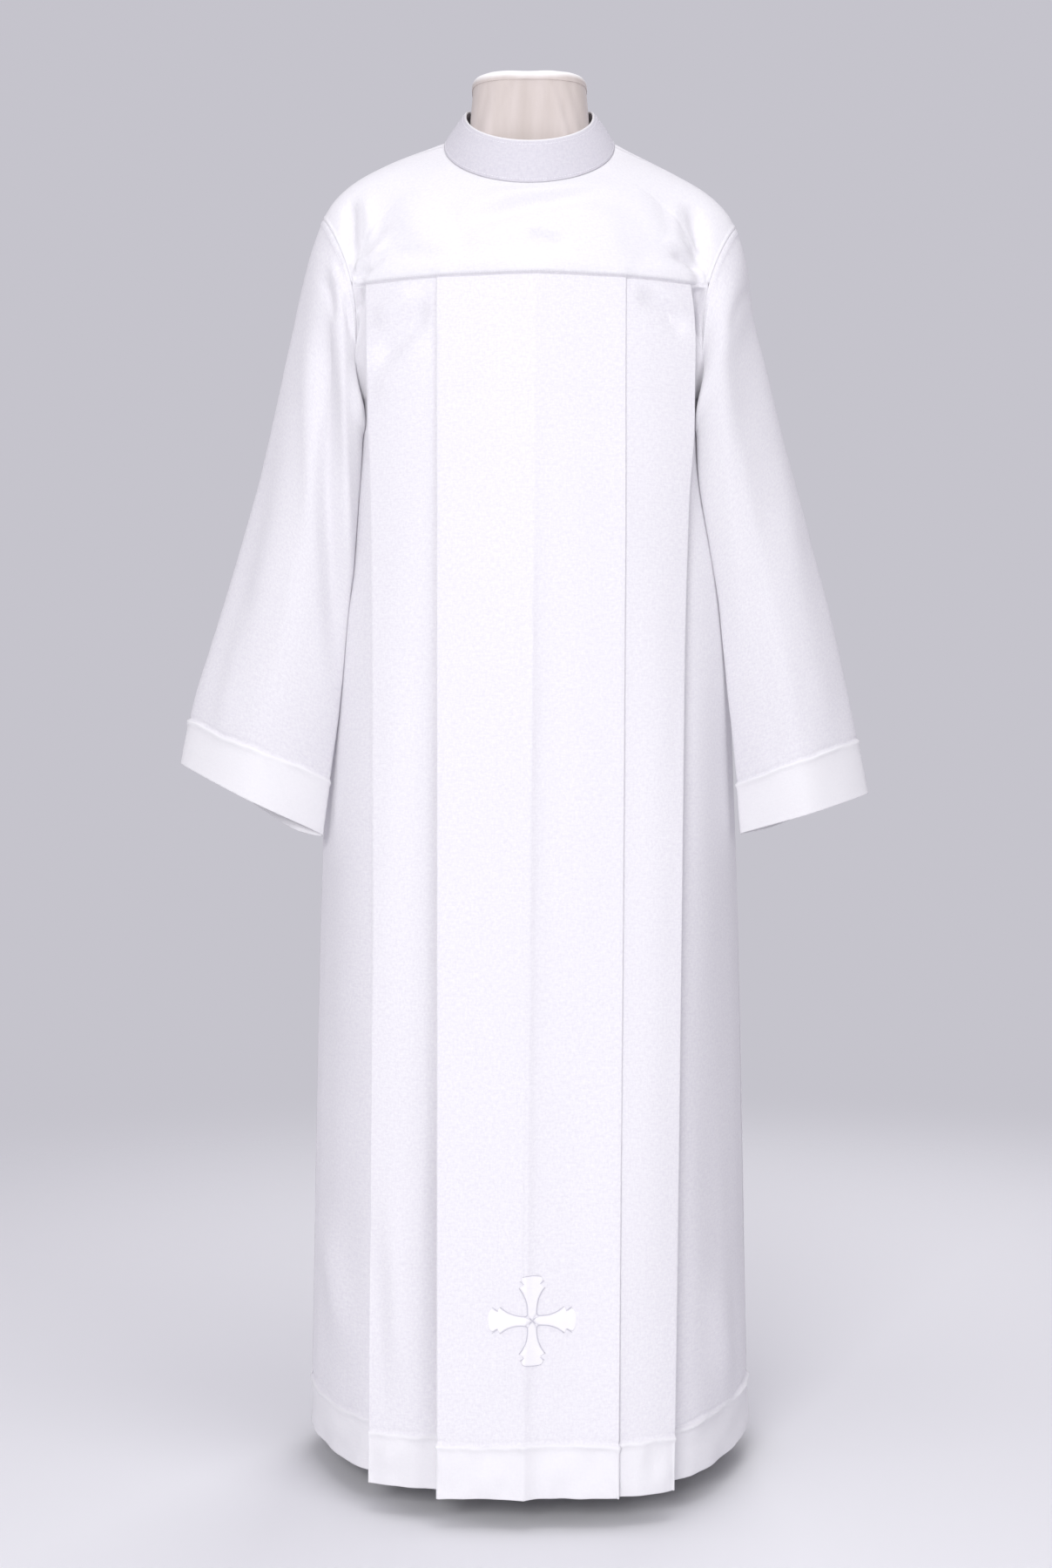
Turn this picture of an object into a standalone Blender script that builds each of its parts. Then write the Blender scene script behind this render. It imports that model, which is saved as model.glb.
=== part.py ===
# Alb robe on a limbless dress form. Metres, +Z up, the front faces -Y, the origin is under the base.
# Every cloth piece is a thin wall round a hollow, and sewn pieces stop 0.3 mm short of each other.

import math

import bmesh
import bpy
from mathutils import Vector

MM = 0.001

# Cloth. FOLD_ROOM is half the room across a fold, in half walls.
WALL = 1.5 * MM
HEM_WALL = 2.4 * MM
COLLAR_WALL = 2.5 * MM
SEAM_GAP = 0.3 * MM
FOLD_ROOM = 2.0
SMOOTH_ANGLE = 30

# Heights above the floor
HEM_Z = 0.029
HEM_DEPTH = 0.0495
HEM_STEP = 0.002
UNDERARM_Z = 1.100
YOKE_Z = 1.218

# Neck edge of the yoke, where the collar is sewn on
NECK_HALF_WIDTH = 0.089
NECK_FRONT = 0.080
NECK_BACK = 0.075
NECK_FRONT_Z = 1.3168
NECK_RISE = 0.0588
NECK_BACK_RISE = 0.014
NECK_BACK_EASE = 4.2

# Top edge of the collar
COLLAR_HALF_WIDTH = 0.0665
COLLAR_FRONT = 0.066
COLLAR_BACK = 0.064
COLLAR_FRONT_Z = 1.3636
COLLAR_RISE = 0.0440
COLLAR_END_ANGLE = 0.15

# Armhole: an upright oval whose front edge lies nearer the middle than its top
ARMHOLE_X = 0.1921
ARMHOLE_X_LEAN = 0.0123
ARMHOLE_X_CURVE = 0.0122
ARMHOLE_HALF_DEPTH = 0.050
SHOULDER_TIP_Z = {-1: 1.2967, 1: 1.2870}
ARMHOLE_UP = 0.557
ARMHOLE_UP_FADE = 0.143
ARMHOLE_FORWARD = 0.86
YOKE_EDGE_STEPS = 4
PANEL_EDGE_STEPS = 6

# Chest line along the yoke seam: y = -CHEST_DEPTH + CHEST_CURVE * x * x
CHEST_DEPTH = 0.112
CHEST_CURVE = 1.94
SEAM_COLUMNS = (0.168, 0.134, 0.095, 0.062, 0.030)

# Yokes. A spoke leaves the neck at flat and fall; each pair is for the side and for the middle.
YOKE_EDGE_ANGLES = (90, 83, 76, 69, 62)
YOKE_STEPS = (0.0, 0.2, 0.4, 0.6, 0.8, 1.0)
FRONT_FLAT = (0.99, 0.45)
FRONT_FALL = 0.89
BACK_FLAT = (0.99, 0.80)
BACK_FALL = 0.60
SHOULDER_FALL = {-1: 0.30, 1: 0.52}
SPOKE_LEAVE = (0.40, 0.34)
SPOKE_ARRIVE = 0.32
SHOULDER_OUTWARD = (0.414, 0.10)
SEAM_FORWARD = 0.12
SHOULDER_DROP = 0.91

# Pressed crease down the middle, which leans a little from the yoke to the hem
CREASE = 0.003
CREASE_TOP_X = 0.003
CREASE_HEM_X = -0.006

# Pleats, one row per height. x runs outward from the middle and y is negative outward.
# edge1 and edge2 are the outward folds, turn is how far the cloth goes back under, step is how far
# behind a fold the next layer lies, and bow is how far the side cloth swells between it and the side seam.
PLEAT_COLUMNS = (
    "z", "centre", "edge1_x", "edge1_y", "turn1", "step1",
    "edge2_x", "edge2_y", "turn2", "step2", "seam_x", "seam_y", "bow",
)
FRONT_LEFT = (
    (1.218, -0.1120, 0.0940, -0.0949, 0.032, 0.0070, 0.1684, -0.0580, 0.026, 0.0076, 0.1834, -0.049, 0.0000),
    (1.100, -0.1260, 0.0935, -0.1100, 0.032, 0.0090, 0.1660, -0.0720, 0.027, 0.0190, 0.1920, 0.000, 0.0000),
    (0.950, -0.1430, 0.0925, -0.1300, 0.032, 0.0130, 0.1610, -0.0920, 0.028, 0.0320, 0.2045, 0.012, 0.0024),
    (0.700, -0.1720, 0.0910, -0.1630, 0.032, 0.0200, 0.1570, -0.1320, 0.030, 0.0450, 0.2165, 0.020, 0.0132),
    (0.029, -0.2495, 0.0876, -0.2490, 0.030, 0.0340, 0.1560, -0.1980, 0.032, 0.0600, 0.2320, 0.025, 0.0125),
)
FRONT_RIGHT = (
    (1.218, -0.1120, 0.0975, -0.0936, 0.032, 0.0070, 0.1646, -0.0594, 0.026, 0.0076, 0.1834, -0.049, 0.0000),
    (1.100, -0.1260, 0.0965, -0.1100, 0.032, 0.0080, 0.1625, -0.0740, 0.027, 0.0180, 0.1920, 0.000, 0.0000),
    (0.950, -0.1430, 0.0955, -0.1300, 0.031, 0.0090, 0.1580, -0.0960, 0.027, 0.0260, 0.2045, 0.012, 0.0030),
    (0.700, -0.1720, 0.0925, -0.1630, 0.030, 0.0100, 0.1525, -0.1410, 0.027, 0.0320, 0.2165, 0.020, 0.0115),
    (0.029, -0.2495, 0.0835, -0.2490, 0.029, 0.0140, 0.1380, -0.2230, 0.028, 0.0390, 0.2320, 0.025, 0.0185),
)
BACK_HALF = (
    (1.218, -0.1120, 0.0900, -0.0963, 0.032, 0.0070, 0.1600, -0.0624, 0.026, 0.0076, 0.1834, -0.049, 0.0000),
    (1.100, -0.1280, 0.0900, -0.1130, 0.032, 0.0080, 0.1600, -0.0780, 0.027, 0.0140, 0.1920, 0.000, 0.0070),
    (0.950, -0.1460, 0.0900, -0.1320, 0.032, 0.0110, 0.1570, -0.0960, 0.028, 0.0180, 0.2045, -0.012, 0.0110),
    (0.700, -0.1700, 0.0890, -0.1600, 0.032, 0.0160, 0.1550, -0.1300, 0.030, 0.0220, 0.2165, -0.020, 0.0150),
    (0.029, -0.2400, 0.0880, -0.2360, 0.032, 0.0220, 0.1500, -0.2060, 0.032, 0.0300, 0.2320, -0.025, 0.0240),
)
PANEL_BOW = 4 * MM
UNDER_PART = 0.85
UNDER_ROOM_1 = 0.6 * MM
UNDER_ROOM_2 = 0.4 * MM
SIDE_STEPS = (0.0, 0.25, 0.5, 0.75, 1.0)
PANEL_HEIGHTS = (0.35, 0.70, 0.83, 0.95, 1.04)

# Sleeves, one row per station from the upper arm to the cuff edge. x runs outward. outer is the
# outer fold, inner the front inner fold, rear the back of the inner side, front and back the swell.
SLEEVE_COLUMNS = (
    "outer_x", "outer_y", "outer_z", "inner_x", "inner_y", "inner_z",
    "rear_x", "rear_y", "rear_z", "front", "back",
)
SLEEVE_LEFT = (
    (0.2494, 0.000, 1.1770, 0.1757, -0.054, 1.0630, 0.200, -0.006, 1.075, 0.034, 0.030),
    (0.2649, -0.002, 1.1040, 0.1784, -0.060, 1.0130, 0.204, -0.016, 1.020, 0.034, 0.032),
    (0.2813, -0.004, 1.0316, 0.1857, -0.063, 0.9500, 0.210, -0.024, 0.955, 0.034, 0.033),
    (0.3031, -0.006, 0.9540, 0.1912, -0.064, 0.8815, 0.215, -0.030, 0.886, 0.034, 0.034),
    (0.3268, -0.008, 0.8720, 0.1975, -0.064, 0.8040, 0.220, -0.034, 0.809, 0.034, 0.034),
    (0.3559, -0.010, 0.7713, 0.2075, -0.062, 0.7095, 0.226, -0.036, 0.714, 0.034, 0.034),
    (0.3650, -0.010, 0.7250, 0.2157, -0.062, 0.6520, 0.232, -0.036, 0.657, 0.034, 0.034),
)
SLEEVE_RIGHT = (
    (0.2393, 0.000, 1.1770, 0.1730, -0.054, 1.0635, 0.200, -0.006, 1.075, 0.034, 0.030),
    (0.2566, -0.002, 1.1040, 0.1774, -0.060, 1.0134, 0.204, -0.016, 1.020, 0.034, 0.032),
    (0.2748, -0.004, 1.0316, 0.1860, -0.063, 0.9497, 0.210, -0.024, 0.955, 0.034, 0.033),
    (0.2948, -0.006, 0.9588, 0.1947, -0.064, 0.8950, 0.216, -0.030, 0.899, 0.034, 0.034),
    (0.3175, -0.008, 0.8724, 0.2029, -0.064, 0.8180, 0.222, -0.034, 0.823, 0.034, 0.034),
    (0.3430, -0.010, 0.7513, 0.2156, -0.062, 0.7058, 0.231, -0.036, 0.710, 0.034, 0.034),
    (0.3548, -0.010, 0.6940, 0.2202, -0.062, 0.6530, 0.236, -0.036, 0.658, 0.034, 0.034),
)
SLEEVE_NODE_ANGLES = (0, 82, 140, 185, 272)
SLEEVE_ENTRY = (0.22, 0.46, 0.72)
ENTRY_TOP = 0.36
ENTRY_LOW = 0.30

# Cross ornament on the middle of the front
CROSS_CENTRE = (0.0021, 0.1936)
CROSS_HALF = 0.042
CROSS_THICK = 0.8 * MM
CROSS_GAP = 0.35 * MM
CROSS_WAIST = 0.0055
CROSS_FLARE = 0.0150
CROSS_TIP_BOW = 0.0030
CROSS_ARM_STEPS = 6

# Dress form. A neck ring has a height, its dip in front, half width and half depth;
# a ring below the shoulders has a height, its rise at the sides, half width and half depth.
FORM_SHOULDER_GAP = 0.4 * MM
FORM_CHEST_GAP = 12 * MM
FORM_REST_ANGLES = (10, 40)
FORM_NECK_GAP = 5 * MM
FORM_NECK_DROP = 2 * MM
FORM_RINGS = (
    (1.215, 0.040, 0.166, 0.085),
    (1.130, 0.000, 0.148, 0.088),
    (0.990, 0.000, 0.118, 0.078),
    (0.860, 0.000, 0.145, 0.098),
    (0.760, 0.000, 0.160, 0.110),
    (0.665, 0.000, 0.152, 0.106),
    (0.645, 0.000, 0.136, 0.094),
)
NECK_RINGS = (
    (1.4300, 0.000, 0.0600, 0.0600),
    (1.4080, 0.022, 0.0600, 0.0590),
    (1.3940, 0.048, 0.0612, 0.0595),
)
NECK_CAP_TOP = 1.441
NECK_CAP_STEPS = 4
POLE_RADIUS = 0.015
BASE_RADIUS = 0.150
BASE_THICK = 0.012
BASE_BEVEL = 3 * MM


def smooth(low, high, value):
    s = min(max((value - low) / (high - low), 0.0), 1.0)
    return s * s * (3 - 2 * s)


def lerp(a, b, s):
    return a + (b - a) * s


def bezier(p0, p1, p2, p3, t):
    u = 1 - t
    return p0 * u**3 + p1 * (3 * u * u * t) + p2 * (3 * u * t * t) + p3 * t**3


def row_at(table, z):
    """Named sizes at one height, straight between the table's rows."""
    for high, low in zip(table, table[1:]):
        if z >= low[0]:
            s = (z - low[0]) / (high[0] - low[0])
            return dict(zip(PLEAT_COLUMNS, (lerp(a, b, s) for a, b in zip(low, high))))
    return dict(zip(PLEAT_COLUMNS, table[-1]))


def new_object(name, mesh_data, material, collection):
    obj = bpy.data.objects.new(name, mesh_data)
    obj.data.materials.append(material)
    collection.objects.link(obj)
    return obj


def mesh_from(bm, name):
    bmesh.ops.recalc_face_normals(bm, faces=bm.faces)
    data = bpy.data.meshes.new(name)
    bm.to_mesh(data)
    bm.free()
    data.shade_smooth()
    data.set_sharp_from_angle(angle=math.radians(SMOOTH_ANGLE))
    return data


def cell(bm, a, b, c, d):
    """One grid cell as two triangles with the diagonal a-c."""
    bm.faces.new((a, b, c))
    bm.faces.new((a, c, d))


def unit_normals(rows, closed):
    """Normals of a grid of points, mitred along each row so that a wall keeps its thickness."""
    last = len(rows) - 1
    width = len(rows[0])
    result = []
    for i, row in enumerate(rows):
        line = []
        for j in range(width):
            before = row[j - 1] if closed or j > 0 else None
            after = row[(j + 1) % width] if closed or j < width - 1 else None
            ends = [v.normalized() for v in (
                row[j] - before if before is not None else None,
                after - row[j] if after is not None else None,
            ) if v is not None]
            along = sum(ends, Vector()).normalized()
            down = (rows[min(i + 1, last)][j] - rows[max(i - 1, 0)][j]).normalized()
            normal = along.cross(down).normalized()
            cosine = max(along.dot(ends[0]), 0.5)
            line.append(normal / cosine)
        result.append(line)
    return result


def wall(name, rows, halves, normals, closed, material, collection):
    """A closed wall: each grid point moved out and in along its normal, with the rims joined."""
    bm = bmesh.new()
    grids = []
    for sign in (1, -1):
        grids.append([
            [bm.verts.new(p + n * (sign * half)) for p, n in zip(row, line)]
            for row, line, half in zip(rows, normals, halves)
        ])
    count = len(rows[0])
    spans = count if closed else count - 1
    for grid in grids:
        for upper, lower in zip(grid, grid[1:]):
            for j in range(spans):
                k = (j + 1) % count
                cell(bm, upper[j], lower[j], lower[k], upper[k])
    outer, inner = grids
    for i in (0, -1):
        for j in range(spans):
            k = (j + 1) % count
            cell(bm, outer[i][j], inner[i][j], inner[i][k], outer[i][k])
    if not closed:
        for j in (0, -1):
            for i in range(len(rows) - 1):
                cell(bm, outer[i][j], inner[i][j], inner[i + 1][j], outer[i + 1][j])
    return new_object(name, mesh_from(bm, name), material, collection)


def armhole_angles(side):
    """Angles down the front half of the armhole, 0 at the shoulder tip and 180 at the underarm."""
    middle = (SHOULDER_TIP_Z[side] + UNDERARM_Z) / 2
    radius = (SHOULDER_TIP_Z[side] - UNDERARM_Z) / 2
    seam = math.acos((YOKE_Z - middle) / radius)
    upper = [seam * k / YOKE_EDGE_STEPS for k in range(YOKE_EDGE_STEPS)]
    lower = [lerp(seam, math.pi, k / PANEL_EDGE_STEPS) for k in range(PANEL_EDGE_STEPS + 1)]
    return upper + lower


def armhole(side):
    """Edge points round the armhole, with the wall's direction and the sewing direction at each."""
    front = armhole_angles(side)
    angles = front + [2 * math.pi - a for a in reversed(front[1:-1])]
    middle = (SHOULDER_TIP_Z[side] + UNDERARM_Z) / 2
    radius = (SHOULDER_TIP_Z[side] - UNDERARM_Z) / 2
    points = []
    outs = []
    for a in angles:
        lean = ARMHOLE_X_LEAN * math.cos(a) + ARMHOLE_X_CURVE * math.cos(2 * a)
        x = side * (ARMHOLE_X + lean)
        points.append(Vector((x, -ARMHOLE_HALF_DEPTH * math.sin(a), middle + radius * math.cos(a))))
        up = math.cos(a) * (ARMHOLE_UP - ARMHOLE_UP_FADE * math.cos(a))
        forward = -ARMHOLE_FORWARD * math.sin(a)
        outs.append(Vector((side * math.sqrt(1 - up * up - forward * forward), forward, up)))
    sews = []
    for k, out in enumerate(outs):
        tangent = points[(k + 1) % len(points)] - points[k - 1]
        sew = out.cross(tangent).normalized()
        sews.append(-sew if sew.x * side < 0 else sew)
    return {"angles": angles, "points": points, "outs": outs, "sews": sews}


def neck_point(theta):
    """Neck edge at an angle from the front, in radians."""
    turned = abs(math.remainder(theta, 2 * math.pi))
    depth = NECK_FRONT if turned <= math.pi / 2 else NECK_BACK
    if turned <= math.pi / 2:
        z = NECK_FRONT_Z + NECK_RISE * (1 - math.cos(turned))
    else:
        z = NECK_FRONT_Z + NECK_RISE
        z += NECK_BACK_RISE * (1 - math.exp(-NECK_BACK_EASE * (turned - math.pi / 2)))
    return Vector((NECK_HALF_WIDTH * math.sin(theta), -depth * math.cos(theta), z))


def collar_point(theta):
    """Top edge of the collar at an angle from the front."""
    turned = abs(math.remainder(theta, 2 * math.pi))
    depth = COLLAR_FRONT if turned <= math.pi / 2 else COLLAR_BACK
    rise = COLLAR_RISE * (1 - math.cos(min(turned, math.pi / 2)))
    if turned > math.pi / 2:
        rise += NECK_BACK_RISE * (1 - math.exp(-NECK_BACK_EASE * (turned - math.pi / 2)))
    return Vector((COLLAR_HALF_WIDTH * math.sin(theta), -depth * math.cos(theta), COLLAR_FRONT_Z + rise))


def spoke(theta, end, toward_end):
    """Control points of the cloth's line from the neck edge to the end point."""
    start = neck_point(theta)
    ahead = math.cos(theta)
    to_middle = ahead**2
    flat = lerp(*(FRONT_FLAT if ahead > 0 else BACK_FLAT), to_middle)
    side = -1 if math.sin(theta) < 0 else 1
    fall = lerp(SHOULDER_FALL[side], FRONT_FALL if ahead > 0 else BACK_FALL, to_middle)
    leave = Vector((math.sin(theta) * flat, -math.cos(theta) * flat, -fall)).normalized()
    reach = (end - start).length
    first = start + leave * (reach * lerp(*SPOKE_LEAVE, to_middle))
    second = end - toward_end.normalized() * (reach * SPOKE_ARRIVE)
    return (start, first, second, end)


def chest_y(x):
    return -CHEST_DEPTH + CHEST_CURVE * x * x


def yoke_spokes(facing, left, right):
    """Spokes of one yoke from one shoulder seam to the other; facing is -1 in front and 1 behind."""
    edge_angles = [math.radians(a) for a in YOKE_EDGE_ANGLES]
    seam_xs = [*SEAM_COLUMNS, 0.0, *(-x for x in reversed(SEAM_COLUMNS))]
    spokes = []
    for side, hole in ((-1, left), (1, right)):
        column = []
        for k, angle in enumerate(edge_angles):
            index = k if facing < 0 else -k
            point = hole["points"][index]
            weight = k / YOKE_EDGE_STEPS
            outward = side * lerp(*SHOULDER_OUTWARD, weight)
            toward = Vector((outward, facing * SEAM_FORWARD * weight, -SHOULDER_DROP))
            column.append((side * angle, point, toward, hole["outs"][index]))
        spokes.append(column)
    middle = []
    inner_angle = edge_angles[-1]
    count = len(seam_xs) + 1
    for k, x in enumerate(seam_xs):
        angle = lerp(-inner_angle, inner_angle, (k + 1) / count)
        point = Vector((-x, facing * -chest_y(x), YOKE_Z))
        middle.append((angle, point, Vector((0, facing * SEAM_FORWARD, -1)), None))
    columns = spokes[0] + middle + spokes[1][::-1]
    if facing > 0:
        columns = [(math.pi - angle, *rest) for angle, *rest in columns[::-1]]
    return columns


def yoke_grid(columns, steps):
    lines = [spoke(theta, end, toward) for theta, end, toward, _ in columns]
    return [[bezier(*line, t) for line in lines] for t in steps]


def neck_mitre(theta):
    """Wall direction and sewing direction where the collar meets the yoke."""
    start, first, _, _ = spoke(theta, neck_point(theta) + Vector((0, 0, -0.1)), Vector((0, 0, -1)))
    away = (first - start).normalized()
    rise = (collar_point(theta) - neck_point(theta)).normalized()
    tangent = (neck_point(theta + 0.01) - neck_point(theta - 0.01)).normalized()
    sew = (rise - away).normalized()
    out = tangent.cross(sew).normalized()
    sew = out.cross(tangent).normalized()
    return out, sew


def build_yoke(name, facing, left, right, material, collection):
    columns = yoke_spokes(facing, left, right)
    centre = len(columns) // 2
    rows = yoke_grid(columns, YOKE_STEPS)
    normals = unit_normals(rows, False)
    flip = -1 if normals[2][centre].y * facing < 0 else 1
    for i, line in enumerate(normals):
        for j, (theta, _, _, edge_out) in enumerate(columns):
            normal = line[j] * flip
            if i == 0:
                normal = neck_mitre(theta)[0]
            if i == len(rows) - 1:
                normal = edge_out.copy() if edge_out else Vector((normal.x, normal.y, 0)).normalized()
            if j in (0, len(columns) - 1):
                normal.y = 0
                normal.normalize()
            line[j] = normal
    for row in rows:
        for j in (0, -1):
            row[j] = row[j] + Vector((0, facing * SEAM_GAP / 2, 0))
    rows[-1] = [
        p + Vector((0, 0, SEAM_GAP / 2)) if abs(p.z - YOKE_Z) < 1e-6 else p for p in rows[-1]
    ]
    return wall(name, rows, [WALL / 2] * len(rows), normals, False, material, collection)


def crease_x(z):
    return lerp(CREASE_HEM_X, CREASE_TOP_X, (z - HEM_Z) / (YOKE_Z - HEM_Z))


def middle_y(size, s):
    """Middle panel's line from the crease, s = 0, to its outward fold, s = 1."""
    return lerp(size["centre"], size["edge1_y"], s**1.5) + 2 * CREASE * s * (1 - s)


def hairpin(x, y, room, outward):
    """Three points round a fold: outward is 1 at an outer fold and -1 at an inner one."""
    return [(x - outward * room, y), (x, y + room), (x - outward * room, y + 2 * room)]


def half_plan(size, room, crease, seam_x, seam_y):
    """Plan of half a panel from the crease to its edge, x positive and y negative outward."""
    edge1 = size["edge1_x"]
    edge2 = size["edge2_x"]
    points = [(lerp(crease, edge1, s), middle_y(size, s)) for s in (0.0, 0.25, 0.5, 0.75)]
    points += hairpin(edge1, size["edge1_y"], room, 1)

    inner1 = edge1 - size["turn1"]
    under_s = (inner1 - crease) / (edge1 - crease)
    panel_in = middle_y(size, under_s) + size["step1"] * UNDER_PART + UNDER_ROOM_1
    panel_at_edge = size["edge1_y"] + size["step1"]
    back1 = panel_in - 2 * room
    points.append((inner1 + size["turn1"] * 0.5, (size["edge1_y"] + 2 * room + back1) / 2))
    points += hairpin(inner1, back1, room, -1)
    points.append((lerp(inner1, edge1, 0.55), lerp(panel_in, panel_at_edge, 0.55)))
    points.append((edge1, panel_at_edge))
    for s in (0.35, 0.7):
        swell = size["panel_bow"] * s * (1 - s)
        points.append((lerp(edge1, edge2, s), lerp(panel_at_edge, size["edge2_y"], s) - swell))
    points += hairpin(edge2, size["edge2_y"], room, 1)

    inner2 = edge2 - size["turn2"]
    slope = (size["edge2_y"] - panel_at_edge) / (edge2 - edge1)
    side_in = size["edge2_y"] - slope * size["turn2"] + size["step2"] * UNDER_PART + UNDER_ROOM_2
    side_y = size["edge2_y"] + size["step2"]
    points += hairpin(inner2, side_in - 2 * room, room, -1)
    side = Vector((edge2, side_y))
    seam = Vector((seam_x, seam_y))
    outward = Vector((seam_y - side_y, edge2 - seam_x)).normalized()
    for t in SIDE_STEPS:
        point = side.lerp(seam, t) + outward * (4 * size["bow"] * t * (1 - t))
        points.append((point.x, point.y))
    return points


def panel_rows():
    """Heights of the rows below the underarm with the wall's half thickness at each."""
    hem_top = HEM_Z + HEM_DEPTH
    rows = [(HEM_Z, HEM_WALL / 2), (hem_top - HEM_STEP, HEM_WALL / 2), (hem_top, WALL / 2)]
    rows += [(z, WALL / 2) for z in PANEL_HEIGHTS]
    return rows


def build_panel(name, facing, tables, holes, material, collection):
    """One pleated panel; tables and holes hold the left and the right half."""
    levels = [(z, half, None) for z, half in panel_rows()]
    levels += [(None, WALL / 2, k) for k in range(PANEL_EDGE_STEPS, -1, -1)]
    levels.reverse()
    rows = []
    halves = []
    ends = []
    for z, half, k in levels:
        sides = []
        corners = []
        for side, table, hole in zip((-1, 1), tables, holes):
            index = None if k is None else (YOKE_EDGE_STEPS + k) * (1 if facing < 0 else -1)
            edge = None if k is None else hole["points"][index]
            level = z if edge is None else edge.z
            size = row_at(table, level)
            size["panel_bow"] = PANEL_BOW
            seam_x = size["seam_x"] if edge is None else abs(edge.x)
            seam_y = size["seam_y"] if edge is None else -abs(edge.y)
            plan = half_plan(size, FOLD_ROOM * half, side * crease_x(level), seam_x, seam_y)
            drop = SEAM_GAP / 2 if k == 0 else 0
            points = [Vector((side * x, -facing * y, level - drop)) for x, y in plan]
            at_side_seam = edge is None or k == PANEL_EDGE_STEPS
            if at_side_seam:
                points[-1].y += facing * SEAM_GAP / 2
            sides.append(points)
            corners.append(Vector((side, 0, 0)) if edge is None else hole["outs"][index])
        rows.append(sides[0][:0:-1] + sides[1])
        halves.append(half)
        ends.append(corners)
    normals = unit_normals(rows, False)
    middle = len(rows[0]) // 2
    flip = -1 if normals[2][middle].y * facing < 0 else 1
    for line, corners in zip(normals, ends):
        for j, normal in enumerate(line):
            length = normal.length
            level_normal = Vector((normal.x, normal.y, 0)).normalized() * (flip * length)
            line[j] = level_normal
        line[0] = corners[0]
        line[-1] = corners[1]
    return wall(name, rows, halves, normals, False, material, collection)


def closed_curve(knots, angles):
    """Points of a smooth closed curve through knots, each an angle in degrees with its point."""
    count = len(knots)
    points = []
    for a in (math.degrees(angle) for angle in angles):
        i = max(k for k in range(count) if knots[k][0] <= a + 1e-6)
        span = [knots[(i + step) % count] for step in (-1, 0, 1, 2)]
        at = [angle + 360 * ((i + step) // count) for step, (angle, _) in zip((-1, 0, 1, 2), span)]
        p = [point for _, point in span]
        length = at[2] - at[1]
        leave = (p[2] - p[0]) * (length / (at[2] - at[0]))
        arrive = (p[3] - p[1]) * (length / (at[3] - at[1]))
        points.append(bezier(p[1], p[1] + leave / 3, p[2] - arrive / 3, p[2], (a - at[1]) / length))
    return points


def station_ring(size, side, angles):
    outer = Vector((side * size["outer_x"], size["outer_y"], size["outer_z"]))
    inner = Vector((side * size["inner_x"], size["inner_y"], size["inner_z"]))
    rear = Vector((side * size["rear_x"], size["rear_y"], size["rear_z"]))
    front_middle = (outer + inner) / 2 + Vector((0, -size["front"], 0))
    back_middle = (outer + rear) / 2 + Vector((0, size["back"], 0))
    knots = list(zip(SLEEVE_NODE_ANGLES, (outer, front_middle, inner, rear, back_middle)))
    return closed_curve(knots, angles)


def sleeve_head(side, hole):
    """Where the sleeve starts: in line with the yoke at the top, butted on the body at the underarm."""
    start = []
    for a, p, out, sew in zip(hole["angles"], hole["points"], hole["outs"], hole["sews"]):
        low = (1 - math.cos(a)) / 2
        level = Vector((out.x, out.y, 0)).normalized()
        away = Vector((0, -math.sin(a), math.cos(a)))
        shift = lerp(sew * SEAM_GAP, level * (WALL / 2 + SEAM_GAP), low)
        leave = lerp(sew, level, low).normalized()
        wall_out = lerp(out, away, low).normalized()
        start.append({"point": p + shift, "out": wall_out, "leave": leave, "low": low})
    return start


def build_sleeve(name, side, table, hole, material, collection):
    sizes = [dict(zip(SLEEVE_COLUMNS, row)) for row in table]
    stations = [station_ring(size, side, hole["angles"]) for size in sizes]
    head = sleeve_head(side, hole)
    rows = [[spot["point"] for spot in head]]
    for t in SLEEVE_ENTRY:
        ring = []
        for spot, end, beyond in zip(head, stations[0], stations[1]):
            begin = spot["point"]
            span = (end - begin).length
            leave = begin + spot["leave"] * (span * lerp(ENTRY_TOP, ENTRY_LOW, spot["low"]))
            arrive = end - (beyond - end).normalized() * (span * ENTRY_TOP)
            ring.append(bezier(begin, leave, arrive, end, t))
        rows.append(ring)
    rows += stations[:-1]
    top, edge = stations[-2:]
    cuff_length = (edge[0] - top[0]).length
    rows.append([lerp(a, b, HEM_STEP / cuff_length) for a, b in zip(top, edge)])
    rows.append(edge)
    halves = [WALL / 2] * (len(rows) - 2) + [HEM_WALL / 2] * 2
    normals = unit_normals(rows, True)
    flip = -1 if normals[5][0].x * side < 0 else 1
    normals = [[n * flip for n in line] for line in normals]
    normals[0] = [spot["out"] for spot in head]
    return wall(name, rows, halves, normals, True, material, collection)


def build_collar(front_angles, back_angles, material, collection):
    end = math.pi - math.radians(COLLAR_END_ANGLE)
    behind = [a for a in back_angles if a < end]
    angles = [-end] + [-a for a in reversed(behind)] + front_angles[1:-1] + behind + [end]
    count = len(angles) - 1
    mitres = [neck_mitre(a) for a in angles]
    rows = []
    for t in (0.0, 0.5, 1.0):
        rows.append([
            lerp(neck_point(a) + sew * SEAM_GAP, collar_point(a), t) for a, (_, sew) in zip(angles, mitres)
        ])
    normals = unit_normals(rows, False)
    flip = -1 if normals[1][count // 2].y > 0 else 1
    normals = [[n * flip for n in line] for line in normals]
    normals[0] = [out for out, _ in mitres]
    for line in normals:
        for j in (0, -1):
            line[j].x = 0
            line[j].normalize()
    return wall("collar", rows, [COLLAR_WALL / 2] * 3, normals, False, material, collection)


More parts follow.
